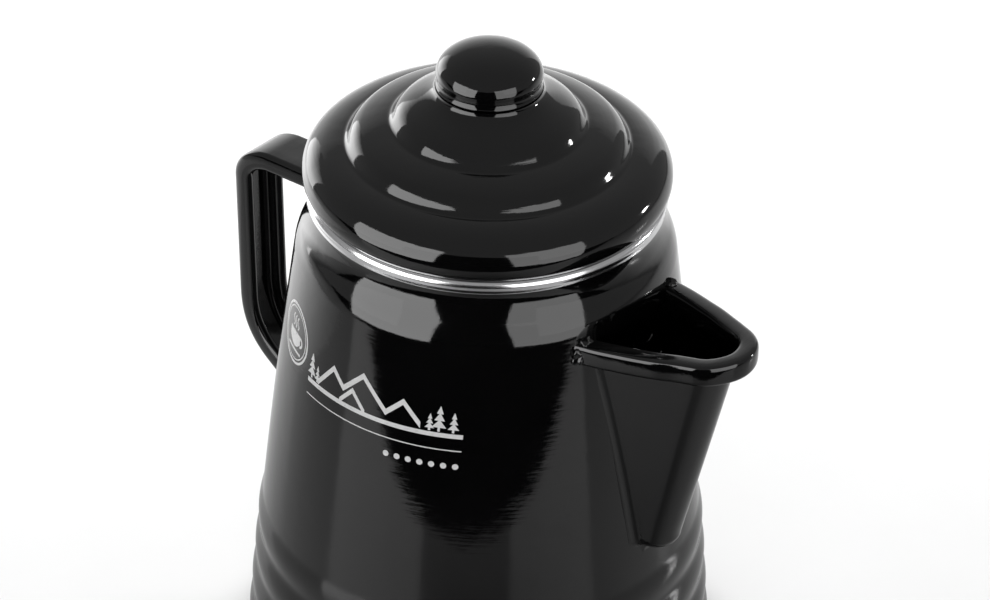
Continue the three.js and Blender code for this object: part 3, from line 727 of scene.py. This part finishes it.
def lip_stations():
    """Points along the mouth's edge, from one end round the keel to the other, and where each faces."""
    section = shrunk(SPOUT_TOP, SHEET - LIP_HALF_WIDTH)
    angle = side_angle(section)
    turn = pi / 2 - angle
    centre = Vector((section["keel_x"] - section["keel_radius"], 0))
    stations = []
    for side in (-1, 1):
        edge = Vector((cos(turn), side * sin(turn)))
        run = Vector((-cos(angle), side * sin(angle)))
        corner = centre + edge * section["keel_radius"]
        straight = []
        for i in range(1, 25):
            bow = LIP_BOW * sin(pi * i / 24)
            straight.append((corner + run * LIP_SIDE_LENGTH * i / 24 + edge * bow, side * turn))
        stations.append(straight)
    nose = []
    for i in range(33):
        now = -turn + 2 * turn * i / 32
        nose.append((centre + Vector((cos(now), sin(now))) * section["keel_radius"], now))
    return stations[0][::-1] + nose + stations[1]


def lip_mesh():
    """Rolled edge round the mouth: a squared oval swept along the top of the trough."""
    rings = []
    for place, outward in lip_stations():
        wobble = noise.noise(Vector((*place, 0)) * 0.11) * LIP_WOBBLE
        ring = []
        for i in range(40):
            around = 2 * pi * i / 40
            across = squared(cos(around)) * LIP_HALF_WIDTH
            upward = squared(sin(around)) * LIP_HALF_HEIGHT
            x = place.x + cos(outward) * (across + wobble)
            y = place.y + sin(outward) * (across + wobble)
            ring.append((x, y, SPOUT_TOP["height"] + upward + LIP_RISE * (x - SPOUT_ROOT_X)))
        rings.append(ring)
    return loft_mesh(rings)


def weld_bead(place, size, seed):
    """A lumpy drop of weld under enamel."""
    mesh = bmesh.new()
    bmesh.ops.create_icosphere(mesh, subdivisions=4, radius=1)
    for vert in mesh.verts:
        swell = noise.noise(vert.co * 1.7 + Vector((seed, 0, 0))) * 0.35
        grain = noise.noise(vert.co * 4 + Vector((0, seed, 0))) * 0.08
        lumpy = vert.co * (1 + (swell + grain))
        vert.co = Vector(place) + Vector(c * s for c, s in zip(lumpy, size))
    return mesh


def pot_block():
    """The pot's outer form above the ripples as a solid, to trim what is welded to it."""
    outline = [point for point in pot_outline(WELD_DEPTH) if point[1] > RIPPLE_TOP]
    bottom = RIPPLE_TOP - TRIM_MARGIN
    top = RIM_HEIGHT + TRIM_MARGIN
    below = [(0, bottom), (outline[0][0], bottom)]
    above = [(outline[-1][0], top), (0, top)]
    return lathe_mesh(below + outline + above, ROUND_STEPS)


def make_spout():
    piece = enamel_piece("pour_spout", trough_mesh(0, SPOUT_FILLET, 0), "spout")
    cut(piece, lip_mesh(), "UNION")
    for side in (-1, 1):
        for i, (x, y, z, size) in enumerate(WELD_BEADS):
            cut(piece, weld_bead((x, side * y, z), size, 3 * side + i), "UNION")
    cut(piece, pot_block())
    cut(piece, trough_mesh(SHEET, -SPOUT_INNER_FILLET, TRIM_MARGIN))
    crease(piece, 48)


# ---- handle ----

def handle_stations():
    """Points along the strap's outer line with the direction of travel at each."""
    stops = [Vector((-distance, height)) for distance, height in HANDLE_LINE]
    line = [stops[0].lerp(stops[1], i / 8) for i in range(9)]
    for before, start, end, after in (stops[0:4], stops[2:6]):
        pull = (end - start).length * CORNER_PULL
        out = start + (start - before).normalized() * pull
        back = end + (end - after).normalized() * pull
        if (start - line[-1]).length > 1e-6:
            line += [line[-1].lerp(start, i / 16) for i in range(1, 17)]
        line += bezier((start, out, back, end), 40)
    line += [stops[4].lerp(stops[5], i / 8) for i in range(1, 9)]
    stations = []
    for i, point in enumerate(line):
        ahead = line[min(i + 1, len(line) - 1)] - line[max(i - 1, 0)]
        stations.append((point, ahead.normalized()))
    return stations


def strap_section():
    """Strap section: x across the strap, y = 0 at its outer face and negative towards the pot."""
    curl = STRAP_CURL / 2
    curl_x = STRAP_HALF_WIDTH - curl
    curl_y = -STRAP_DEPTH + curl
    web_x = curl_x - curl
    half = [(0.0, 0.0), (curl_x * 0.5, 0.0), (curl_x, 0.0)]
    wide = STRAP_HALF_WIDTH
    shoulder = ((curl_x, 0), (wide - 1, 0), (wide, -0.6), (wide, curl_y))
    half += bezier(shoulder, 12)
    half += arc((curl_x, curl_y), curl, 0, -pi, 16)[1:]
    corner = (web_x - STRAP_FILLET, -STRAP_SHEET - STRAP_FILLET)
    half += arc(corner, STRAP_FILLET, 0, pi / 2, 8)
    half.append((0.0, -STRAP_SHEET))
    mirrored = [(-x, y) for x, y in reversed(half)][1:-1]
    return half + mirrored


def make_handle():
    section = strap_section()
    rings = []
    for point, ahead in handle_stations():
        outward = Vector((ahead.y, -ahead.x))
        rings.append([(point.x + outward.x * y, x, point.y + outward.y * y) for x, y in section])
    piece = enamel_piece("strap_handle", loft_mesh(rings), "handle")
    cut(piece, pot_block())
    crease(piece, 48)


# ---- lid ----

LID_CURVES = (
    ((59.2, 0), (62.7, 4.0), (61.8, 11.4), (54.6, 14.3)),
    ((54.6, 14.3), (52.2, 15.3), (49.6, 15.7), (47.8, 15.8)),
    ((47.8, 15.8), (45.8, 15.9), (46, 19.4), (42, 21.5)),
    ((42, 21.5), (39.5, 22.6), (36.5, 23.4), (33.2, 23.8)),
    ((33.2, 23.8), (31.4, 24), (31.2, 27), (28, 29.4)),
    ((28, 29.4), (25.2, 31.5), (21.5, 33), (19.4, 34.6)),
    ((19.4, 34.6), (18.2, 35.5), (LID_BOSS_RADIUS, 36.3), (LID_BOSS_RADIUS, LID_BOSS_HEIGHT)),
)


def lid_outline():
    points = [LID_CURVES[0][0]]
    for curve in LID_CURVES:
        points += bezier(curve, 14)
    return points


def make_lid():
    outer = lid_outline()
    inner = offset(outer, LID_SHEET)
    inner[-1] = (LID_BOSS_RADIUS - LID_SHEET, LID_BOSS_HEIGHT - LID_SHEET)
    edge = Vector(outer[0]).lerp(Vector(inner[0]), 0.5)
    start = atan2(outer[0][1] - edge.y, outer[0][0] - edge.x)
    roll = arc(edge, LID_SHEET / 2, start - pi, start, 20)[1:-1]
    crown = [(LID_HOLE, LID_BOSS_HEIGHT), (LID_HOLE, LID_BOSS_HEIGHT - LID_SHEET)]
    outline = [(r, z + LID_SEAT) for r, z in roll + outer + crown + inner[::-1]]
    enamel_piece("lid", lathe_mesh(outline, ROUND_STEPS), "lid_shell", body="lid", sharp=50)


def ring_piece(name, node, inner, body, slot, material, bend=0.25, steps=SMALL_STEPS):
    """A turned ring with rounded corners that fills its CAD node's height and outer radius."""
    outline = ring_outline(inner, *span(node), bend)
    return finish_mesh(name, lathe_mesh(outline, steps), body, slot, material, node, sharp=60)


def make_lid_collar():
    inner = high("lid_collar").x - COLLAR_SHEET
    ring_piece("lid_sleeve", "lid_collar", inner, "lid", "enamel_black", ENAMEL, steps=ROUND_STEPS)


# ---- knob ----

def dome(inset, steps):
    """The knob's flattened dome from its widest level to the axis."""
    points = []
    for i in range(steps + 1):
        turn = pi / 2 * i / steps
        r = (KNOB_RADIUS - inset) * max(cos(turn), 0) ** KNOB_FLATNESS
        z = KNOB_SEAT + KNOB_WALL + (KNOB_DOME - inset) * sin(turn)
        points.append((0 if i == steps else r, z))
    return points


def make_knob():
    wall = KNOB_RADIUS - 0.35
    shoulder = KNOB_SEAT + KNOB_WALL
    inner = [(KNOB_RADIUS - KNOB_SHEET - 0.35, KNOB_SEAT + 0.2), *dome(KNOB_SHEET, 40)]
    foot = [(wall - 0.6, KNOB_SEAT), (KNOB_RADIUS - 0.25, KNOB_SEAT), (KNOB_RADIUS, KNOB_SEAT + 0.25),
            (KNOB_RADIUS - 0.05, KNOB_SEAT + 0.5), (wall, KNOB_SEAT + 0.8)]
    step = [(wall, shoulder - 0.9), (KNOB_RADIUS - 0.1, shoulder - 0.55)]
    outline = inner[::-1] + foot + step + dome(0, 64)
    enamel_piece("knob_dome", lathe_mesh(outline, SMALL_STEPS), "knob_cap", body="lid", sharp=60)
    ring_piece("knob_base", "knob_core", SCREW_BORE, "lid", "knob_core_plastic", PHENOLIC, 0.4)
    ring_piece("washer", "knob_washer", SCREW_BORE, "lid", "fastener_steel", ZINC, 0.15, SCREW_STEPS)


def add_box(mesh, place, size):
    bmesh.ops.create_cube(mesh, size=1, matrix=place @ Matrix.Diagonal((*size, 1)))


def add_rod(mesh, place, radius, depth, segments):
    bmesh.ops.create_cone(mesh, cap_ends=True, segments=segments, radius1=radius, radius2=radius,
                          depth=depth, matrix=place)


def make_screw():
    """A cheese-head screw with a slot, its thread drawn as rings."""
    radius, bottom, top = span("knob_screw")
    seat = bottom + SCREW_HEAD
    outline = [(0, bottom), (radius - 1.6, bottom), (radius - 0.5, bottom + 0.5), (radius, bottom + 1.4),
               (radius, seat), (SCREW_RADIUS, seat)]
    turns = int((top - seat - 1) / THREAD_PITCH)
    for i in range(turns):
        outline += [(SCREW_RADIUS, seat + 0.6 + i * THREAD_PITCH),
                    (THREAD_ROOT, seat + 0.6 + (i + 0.5) * THREAD_PITCH)]
    outline += [(SCREW_RADIUS, top - 0.4), (SCREW_RADIUS - 0.4, top), (0, top)]
    mesh = lathe_mesh(outline, SCREW_STEPS)
    piece = finish_mesh("screw", mesh, "lid", "fastener_steel", ZINC, "knob_screw")
    slot = bmesh.new()
    add_box(slot, Matrix.Translation((0, 0, bottom)), (12, 1.2, 1.8))
    cut(piece, slot)
    crease(piece, 40)


# ---- brewing insert ----

def insert_piece(name, outline, body, node, steps=SMALL_STEPS, sharp=None):
    """A turned piece of the brewing insert."""
    mesh = lathe_mesh(outline, steps)
    return finish_mesh(name, mesh, body, "insert_steel", INSERT_STEEL, node, sharp=sharp)


def insert_ring(name, node, gap, body, bend):
    """A ring of the brewing insert that goes round the tube."""
    ring_piece(name, node, TUBE_RADIUS + gap, body, "insert_steel", INSERT_STEEL, bend)


def sieve_cutters(bottom, top):
    mesh = bmesh.new()
    for radius, count in SIEVE_RINGS:
        for i in range(count):
            turn = 2 * pi * (i + 0.5 * (count % 2)) / count
            centre = (radius * cos(turn), radius * sin(turn), (bottom + top) / 2)
            add_rod(mesh, Matrix.Translation(centre), SIEVE_HOLE, top - bottom, 14)
    return mesh


def make_tube():
    """The riser tube, with crossed slots at its foot."""
    node = "riser_tube"
    piece = ring_piece("riser", node, TUBE_BORE, "pump", "insert_steel", INSERT_STEEL, 0.3)
    foot = Matrix.Translation((0, 0, low(node).z))
    slots = bmesh.new()
    for turn in (0, pi / 2):
        add_box(slots, foot @ Matrix.Rotation(turn, 4, "Z"), TUBE_SLOT)
    cut(piece, slots)
    crease(piece, 50)


def make_foot():
    """The pump's bell foot, with round notches in its edge."""
    radius, floor, top = span("pump_foot")
    collar = TUBE_RADIUS + PRESSED_GAP
    bell = ((radius, floor + 1.6), (radius, floor + 4.4), (collar + 10, 9), (collar + 3.2, 12.6))
    neck = ((collar + 3.2, 12.6), (collar + 1.6, 13.5), (collar + 0.8, 14.2), (collar + 0.8, 16.5))
    outer = [(radius, floor + 0.3), (radius, floor + 1.6)]
    outer += bezier(bell, 24) + bezier(neck, 10)
    outer += [(collar + 0.8, top - 0.3), (collar + 0.5, top)]
    inner = [(max(r, collar), z) for r, z in offset(outer[:-2], INSERT_SHEET)]
    edge = [(radius - INSERT_SHEET, floor), (radius - 0.25, floor)]
    piece = insert_piece("foot_bell", outer + [(collar, top)] + inner[::-1] + edge, "pump", "pump_foot")
    notches = bmesh.new()
    lying = Matrix.Rotation(pi / 2, 4, "Y")
    for i in range(FOOT_NOTCHES):
        turn = Matrix.Rotation(2 * pi * (i + 0.5) / FOOT_NOTCHES, 4, "Z")
        place = turn @ Matrix.Translation((radius, 0, floor)) @ lying
        add_rod(notches, place, FOOT_NOTCH_RADIUS, 8, 32)
    cut(piece, notches)
    crease(piece, 50)


def make_cage():
    """The cup at the tube's foot that holds the valve disc."""
    radius, floor, top = span("valve_cage")
    wall = radius - INSERT_SHEET
    corner = (radius - CAGE_BEND, floor + CAGE_BEND)
    outer = [(CAGE_HOLE, floor)] + arc(corner, CAGE_BEND, -pi / 2, 0, 8)
    edge = [(radius, top - 0.2), (radius - 0.2, top), (wall + 0.2, top), (wall, top - 0.2)]
    inner = arc(corner, CAGE_BEND - INSERT_SHEET, 0, -pi / 2, 8)
    outline = outer + edge + inner + [(CAGE_HOLE, floor + INSERT_SHEET)]
    insert_piece("cage", outline, "pump", "valve_cage", steps=96, sharp=50)


def make_disc():
    """The loose valve disc, with a shallow dimple on top."""
    radius, bottom, top = span("valve_disc")
    outline = [(0, bottom), (radius - 0.3, bottom), (radius, bottom + 0.3), (radius, top - 0.2),
               (radius - 0.2, top), (2.2, top), (1.8, top - 0.15), (0, top - 0.15)]
    insert_piece("disc", outline, "valve", "valve_disc", steps=64, sharp=50)


def make_basket():
    """The coffee basket: a sieve floor, a pressed band and a curled rim, on its sleeve."""
    radius, floor, top = span("basket_cup")
    wall = BASKET_WALL
    curl = BASKET_CURL
    rim_radius = radius - curl
    corner = (wall - BASKET_BEND, floor + BASKET_BEND)
    hole = TUBE_RADIUS + 1.7
    outer = arc(corner, BASKET_BEND, -pi / 2, 0, 10)
    band = [(wall + 0.35, floor + 9), (wall + 1.0, floor + 10.5), (wall + 0.6, floor + 12)]
    roll = arc((rim_radius, top - curl), curl, -pi / 2, pi, 24)
    inside = [(rim_radius - curl, top - 2 * curl), (wall - 0.2, floor + 12), (wall + 0.2, floor + 10.5),
              (wall - 0.5, floor + 9)]
    inner = arc(corner, BASKET_BEND - INSERT_SHEET, 0, -pi / 2, 8)
    outline = [(hole, floor + INSERT_SHEET), (hole, floor)] + outer + band + roll + inside + inner
    piece = insert_piece("basket", outline, "basket", "basket_cup")
    cut(piece, sieve_cutters(floor - 1, floor + 2))
    crease(piece, 40)
    insert_ring("basket_tube", "basket_sleeve", SLIDING_GAP, "basket", 0.2)


def make_spreader():
    """The perforated plate that covers the basket, with its collar."""
    radius, skirt, top = span("basket_cover")
    plate = top - INSERT_SHEET
    hole = TUBE_RADIUS + SLIDING_GAP
    corner = (radius - COVER_BEND, top - COVER_BEND)
    outer = arc(corner, COVER_BEND, 0, pi / 2, 10)
    inner = arc(corner, COVER_BEND - INSERT_SHEET, pi / 2, 0, 8)
    hem = [(radius - INSERT_SHEET, skirt + 0.2), (radius - INSERT_SHEET / 2, skirt),
           (radius, skirt + 0.3)]
    outline = [(hole, plate)] + inner + hem + outer + [(hole, top)]
    piece = insert_piece("cover_plate", outline, "spreader", "basket_cover")
    cut(piece, sieve_cutters(plate - 1, top + 1))
    crease(piece, 40)
    insert_ring("cover_ring", "cover_collar", SLIDING_GAP, "spreader", 0.4)


# ---- printed decoration ----

def on_wall(across, height):
    """A point of the decoration on the wall."""
    radius = wall_radius(height) + PRINT_LIFT
    turn = -pi / 2 + across / wall_radius(height)
    return (radius * cos(turn), radius * sin(turn), height)


def strip(mesh, lower, upper):
    """Fills the band between two rows of points."""
    rows = [[mesh.verts.new(on_wall(*p)) for p in row] for row in (lower, upper)]
    for i in range(len(lower) - 1):
        mesh.faces.new((rows[0][i], rows[0][i + 1], rows[1][i + 1], rows[1][i]))


def bar(mesh, start, end, low_edge, high_edge):
    """A level bar drawn in short steps, so that it follows the wall."""
    count = max(2, int((end - start) / PRINT_STEP))
    stops = [start + (end - start) * i / count for i in range(count + 1)]
    strip(mesh, [(s, low_edge) for s in stops], [(s, high_edge) for s in stops])


def circle_band(mesh, centre, inner, outer, start=0.0, end=2 * pi):
    """A band between two circles, or part of one."""
    strip(mesh, arc(centre, inner, start, end, 72), arc(centre, outer, start, end, 72))


def stroke(mesh, start, end, width):
    """A straight stroke of even upright width between two points of the decoration."""
    (s0, z0), (s1, z1) = start, end
    count = max(2, int(abs(s1 - s0)))
    line = [(s0 + (s1 - s0) * i / count, z0 + (z1 - z0) * i / count) for i in range(count + 1)]
    strip(mesh, [(s, z - width) for s, z in line], line)


def fir(mesh, foot, height):
    """A small fir: three stacked triangles on a trunk."""
    x, z = foot
    bar(mesh, x - 0.4, x + 0.4, z, z + height * 0.2)
    for share in (0.15, 0.42, 0.69):
        base = z + height * share
        tip = base + height * 0.31
        half = height * 0.26 * (1.15 - share)
        wide, narrow = [[(x - reach, level), (x, level), (x + reach, level)]
                        for reach, level in ((half, base), (0.05, tip))]
        strip(mesh, wide, narrow)


def peaks(mesh):
    """A range of hills over a ground bar, with firs and a tent in front."""
    for start, end in zip(HILLS, HILLS[1:]):
        stroke(mesh, start, end, HILL_STROKE)
    for x, height in FIRS:
        fir(mesh, (x, FIR_FOOT), height)
    for start, end in zip(TENT, TENT[1:]):
        stroke(mesh, start, end, TENT_STROKE)
    bar(mesh, *PRINT_SPAN, *GROUND_BAR)


def cup_sign(mesh, centre):
    """A plain round badge with a cup and three wisps of steam."""
    x, z = centre
    circle_band(mesh, centre, 9.8, 10.6)
    circle_band(mesh, centre, 8.7, 9.1)
    body = [x - 4.6 + 9.2 * i / 12 for i in range(13)]
    strip(mesh, [(s, z - 4.6 + 0.12 * (s - x) ** 2) for s in body], [(s, z + 0.8) for s in body])
    circle_band(mesh, (x + 4.6, z - 1.2), 1.1, 2.0, -pi / 2, pi / 2)
    bar(mesh, x - 5.4, x + 5.4, z - 6.2, z - 5.4)
    for shift in (-2.0, 0.0, 2.0):
        wisp = [(x + shift + 0.6 * sin(i * pi / 6), z + 2.0 + i * 0.36) for i in range(13)]
        strip(mesh, [(s - 0.35, t) for s, t in wisp], [(s + 0.35, t) for s, t in wisp])


def make_print():
    mesh = bmesh.new()
    peaks(mesh)
    bar(mesh, *PRINT_SPAN, *RULE)
    cup_sign(mesh, BADGE)
    for i in range(DOT_COUNT):
        circle_band(mesh, (FIRST_DOT[0] + DOT_PITCH * i, FIRST_DOT[1]), *DOT_RADII)
    bmesh.ops.remove_doubles(mesh, verts=mesh.verts, dist=0.001)
    bmesh.ops.recalc_face_normals(mesh, faces=mesh.faces)
    bmesh.ops.solidify(mesh, geom=mesh.faces[:], thickness=PRINT_THICKNESS)
    finish_mesh("side_print", mesh, "pot", "enamel_black", INK, sharp=40)


# ---- studio ----

def seen_from_pot(right, up=0):
    """Unit vector from the pot, in degrees to the right of the camera and up from level."""
    turn = radians(CAMERA_AZIMUTH) + radians(right)
    rise = radians(up)
    return Vector((sin(turn) * cos(rise), -cos(turn) * cos(rise), sin(rise)))


def make_camera():
    data = bpy.data.cameras.new("camera")
    data.lens = CAMERA_LENS
    camera = add_object("camera", data)
    back = seen_from_pot(0, CAMERA_ELEVATION)
    target_ray = Vector((-tan(AIM_PAN), tan(AIM_TILT), -1))
    look = (-back).to_track_quat("-Z", "Y") @ Quaternion((0, 0, 1), CAMERA_ROLL)
    camera.rotation_mode = "QUATERNION"
    camera.rotation_quaternion = look @ target_ray.rotation_difference(Vector((0, 0, -1)))
    camera.location = UP * (LID_SEAT * MM) + back * CAMERA_DISTANCE
    bpy.context.scene.camera = camera


def area_light(name, place, width, height, radiance, in_gloss=True, on_matt=True):
    """A soft rectangle of light that faces the pot and isn't seen by the camera."""
    data = bpy.data.lights.new(name, "AREA")
    data.shape = "RECTANGLE"
    data.size = width
    data.size_y = height
    data.energy = radiance * width * height * pi
    light = add_object(name, data)
    light.location = place
    light.rotation_mode = "QUATERNION"
    light.rotation_quaternion = (place - UP * LIGHT_AIM).to_track_quat("Z", "Y")
    light.visible_camera = False
    light.visible_glossy = in_gloss
    light.visible_diffuse = on_matt


def make_lights():
    """Two softboxes in front, a small hard light, and fill from low ahead and from high behind."""
    for name, side, width, radiance in SOFTBOXES:
        place = seen_from_pot(side) * SOFTBOX_DISTANCE + UP * SOFTBOX_CENTRE
        area_light(name, place, width, SOFTBOX_HEIGHT, radiance, on_matt=False)
    area_light("right_flash", seen_from_pot(105, 19) * FLASH_DISTANCE, 0.11, 0.045, 90.0, on_matt=False)
    ahead = seen_from_pot(-12) * FILL_DISTANCE + UP * 0.32
    area_light("front_fill", ahead, 1.4, 0.6, 5.0, in_gloss=False)
    behind = seen_from_pot(180) * FILL_DISTANCE + UP * 1.4
    area_light("high_fill", behind, 2.6, 1.4, 7.8, in_gloss=False)


def make_world():
    """Low even light all round, which the camera sees as white."""
    world = bpy.data.worlds.new("world")
    bpy.context.scene.world = world
    world.use_nodes = True
    tree = world.node_tree
    background = tree.nodes["Background"]
    background.inputs["Color"].default_value = (1, 1, 1, 1)
    path = tree.nodes.new("ShaderNodeLightPath")
    in_gloss = tree.nodes.new("ShaderNodeMapRange")
    in_gloss.inputs["To Min"].default_value = WORLD_ON_MATT
    in_gloss.inputs["To Max"].default_value = WORLD_IN_GLOSS
    tree.links.new(path.outputs["Is Glossy Ray"], in_gloss.inputs["Value"])
    level = tree.nodes.new("ShaderNodeMapRange")
    tree.links.new(path.outputs["Is Camera Ray"], level.inputs["Value"])
    tree.links.new(in_gloss.outputs["Result"], level.inputs["To Min"])
    tree.links.new(level.outputs["Result"], background.inputs["Strength"])


def white_laminate():
    """White and matt to the eye. Gloss sees painted shade on it in front of the pot, a slight sheen of
    its own, and painted black past its front edge."""
    nodes = Nodes("white_top")
    mottle = nodes.noise(40, nodes.place())
    shade = nodes.blend(mottle, [0.80] * 3, [0.82] * 3)
    reflected = nodes.add("LightPath").outputs["Is Glossy Ray"]
    # painted shade: glossy rays see the top darker in front of the pot
    in_front = nodes.spread(nodes.distance_along(seen_from_pot(0)), 0.0, 1.0, low_in=-0.35, high_in=0.0)
    dimming = nodes.combine("MULTIPLY", in_front, reflected)
    shaded_in_gloss = nodes.blend(dimming, shade, [TOP_SHADE_IN_GLOSS] * 3)
    # painted darkness: glossy rays see the top black past its front edge, with no sheen there
    towards_edge = nodes.distance_along(seen_from_pot(TOP_EDGE_SIDE))
    past_edge = nodes.combine("GREATER_THAN", towards_edge, TOP_EDGE)
    painted_darkness = nodes.combine("MULTIPLY", past_edge, reflected)
    colour = nodes.blend(painted_darkness, shaded_in_gloss, [NEAR_BLACK] * 3)
    sheen = nodes.combine("SUBTRACT", reflected, painted_darkness)
    specular = nodes.combine("MULTIPLY", sheen, TOP_SHEEN)
    nodes.set(Base_Color=colour, Roughness=0.22, Specular_IOR_Level=specular)
    return nodes.material


def make_floor():
    bpy.ops.mesh.primitive_plane_add(size=FLOOR_SIZE)
    floor = bpy.context.object
    floor.data.materials.append(white_laminate())


def upright(foot, half_width, height):
    """Corners of a standing rectangle, from the middle of its foot."""
    bottom = foot + UP * MM
    top = foot + UP * height
    return [bottom - half_width, bottom + half_width, top + half_width, top - half_width]


def flat_card(name, corners, material):
    """A flat card that the camera doesn't see and that throws no shadow."""
    data = bpy.data.meshes.new(name)
    data.from_pydata(corners, [], [(0, 1, 2, 3)])
    data.materials.append(material)
    card = add_object(name, data)
    card.visible_camera = False
    card.visible_shadow = False
    return card


def lit_card(name, corners, nodes, glow):
    """A flat card that gives off light."""
    nodes.set(Base_Color=(0, 0, 0, 1), Specular_IOR_Level=0.0)
    nodes.set(Emission_Color=(1, 1, 1, 1), Emission_Strength=glow)
    return flat_card(name, corners, nodes.material)


def standing_card(name, side, half_width, height, glow, faded_glow, fade_from):
    """A lit card behind the pot that fades towards its top."""
    nodes = Nodes(name)
    place = nodes.add("TexCoord").outputs["Generated"]
    up = nodes.add("SeparateXYZ", {"Vector": place}).outputs["Z"]
    fading = nodes.spread(up, glow, faded_glow, low_in=fade_from, high_in=1.0)
    foot = seen_from_pot(side) * BACK_WALL_DISTANCE
    across = seen_from_pot(side + 90) * half_width
    lit_card(name, upright(foot, across, height), nodes, fading)


def make_back_wall():
    """A lit wall behind the pot and a brighter strip to one side of it."""
    standing_card("back_wall", 180, 0.75, 0.95, 1.5, 0.4, 0.33)
    standing_card("back_strip", STRIP_SIDE, 0.30, 0.70, 4.7, 0.6, 0.35)


def make_strip_pool():
    """The pool of light that the strip throws on the white top, brighter towards the strip."""
    nodes = Nodes("strip_pool")
    ahead = seen_from_pot(STRIP_SIDE)
    across = seen_from_pot(STRIP_SIDE + 90)
    off_centre = nodes.combine("ABSOLUTE", nodes.distance_along(across))
    along = nodes.spread(nodes.distance_along(ahead), 1.1, 3.4, low_in=POOL_START, high_in=0.6)
    share = nodes.spread(off_centre, 1.0, 0.35, low_in=0.05, high_in=POOL_HALF_WIDTH)
    glow = nodes.combine("MULTIPLY", along, share)
    near = (POOL_START, -POOL_HALF_WIDTH), (POOL_START, POOL_HALF_WIDTH)
    far = (BACK_WALL_DISTANCE, POOL_HALF_WIDTH), (BACK_WALL_DISTANCE, -POOL_HALF_WIDTH)
    corners = [ahead * d + across * w + UP * MM for d, w in near + far]
    lit_card("strip_pool", corners, nodes, glow).visible_diffuse = False


def make_dark_flag():
    """Dark card past the white top's edge that only gloss shows: a painted dark reflection."""
    nodes = Nodes("dark_reflection_card")
    card_mottle = nodes.noise(40, nodes.place())
    black = nodes.blend(card_mottle, [NEAR_BLACK] * 3, [0.006] * 3)
    nodes.set(Base_Color=black, Roughness=0.9, Specular_IOR_Level=0.0)
    foot = seen_from_pot(TOP_EDGE_SIDE) * FLAG_DISTANCE
    across = seen_from_pot(TOP_EDGE_SIDE + 90) * FLAG_HALF_WIDTH
    flag = flat_card("dark_flag", upright(foot, across, FLAG_HEIGHT), nodes.material)
    flag.visible_diffuse = False


# ---- making ----

make_camera()
make_world()
make_lights()
make_floor()
make_back_wall()
make_strip_pool()
make_dark_flag()
bpy.context.scene.view_settings.view_transform = "Standard"

make_wall()
make_base()
make_rim()
make_spout()
make_handle()
make_lid()
make_lid_collar()
make_knob()
make_screw()
make_tube()
make_foot()
make_cage()
make_disc()
insert_ring("stop_ring", "basket_stop", PRESSED_GAP, "pump", 0.4)
make_basket()
make_spreader()
make_print()
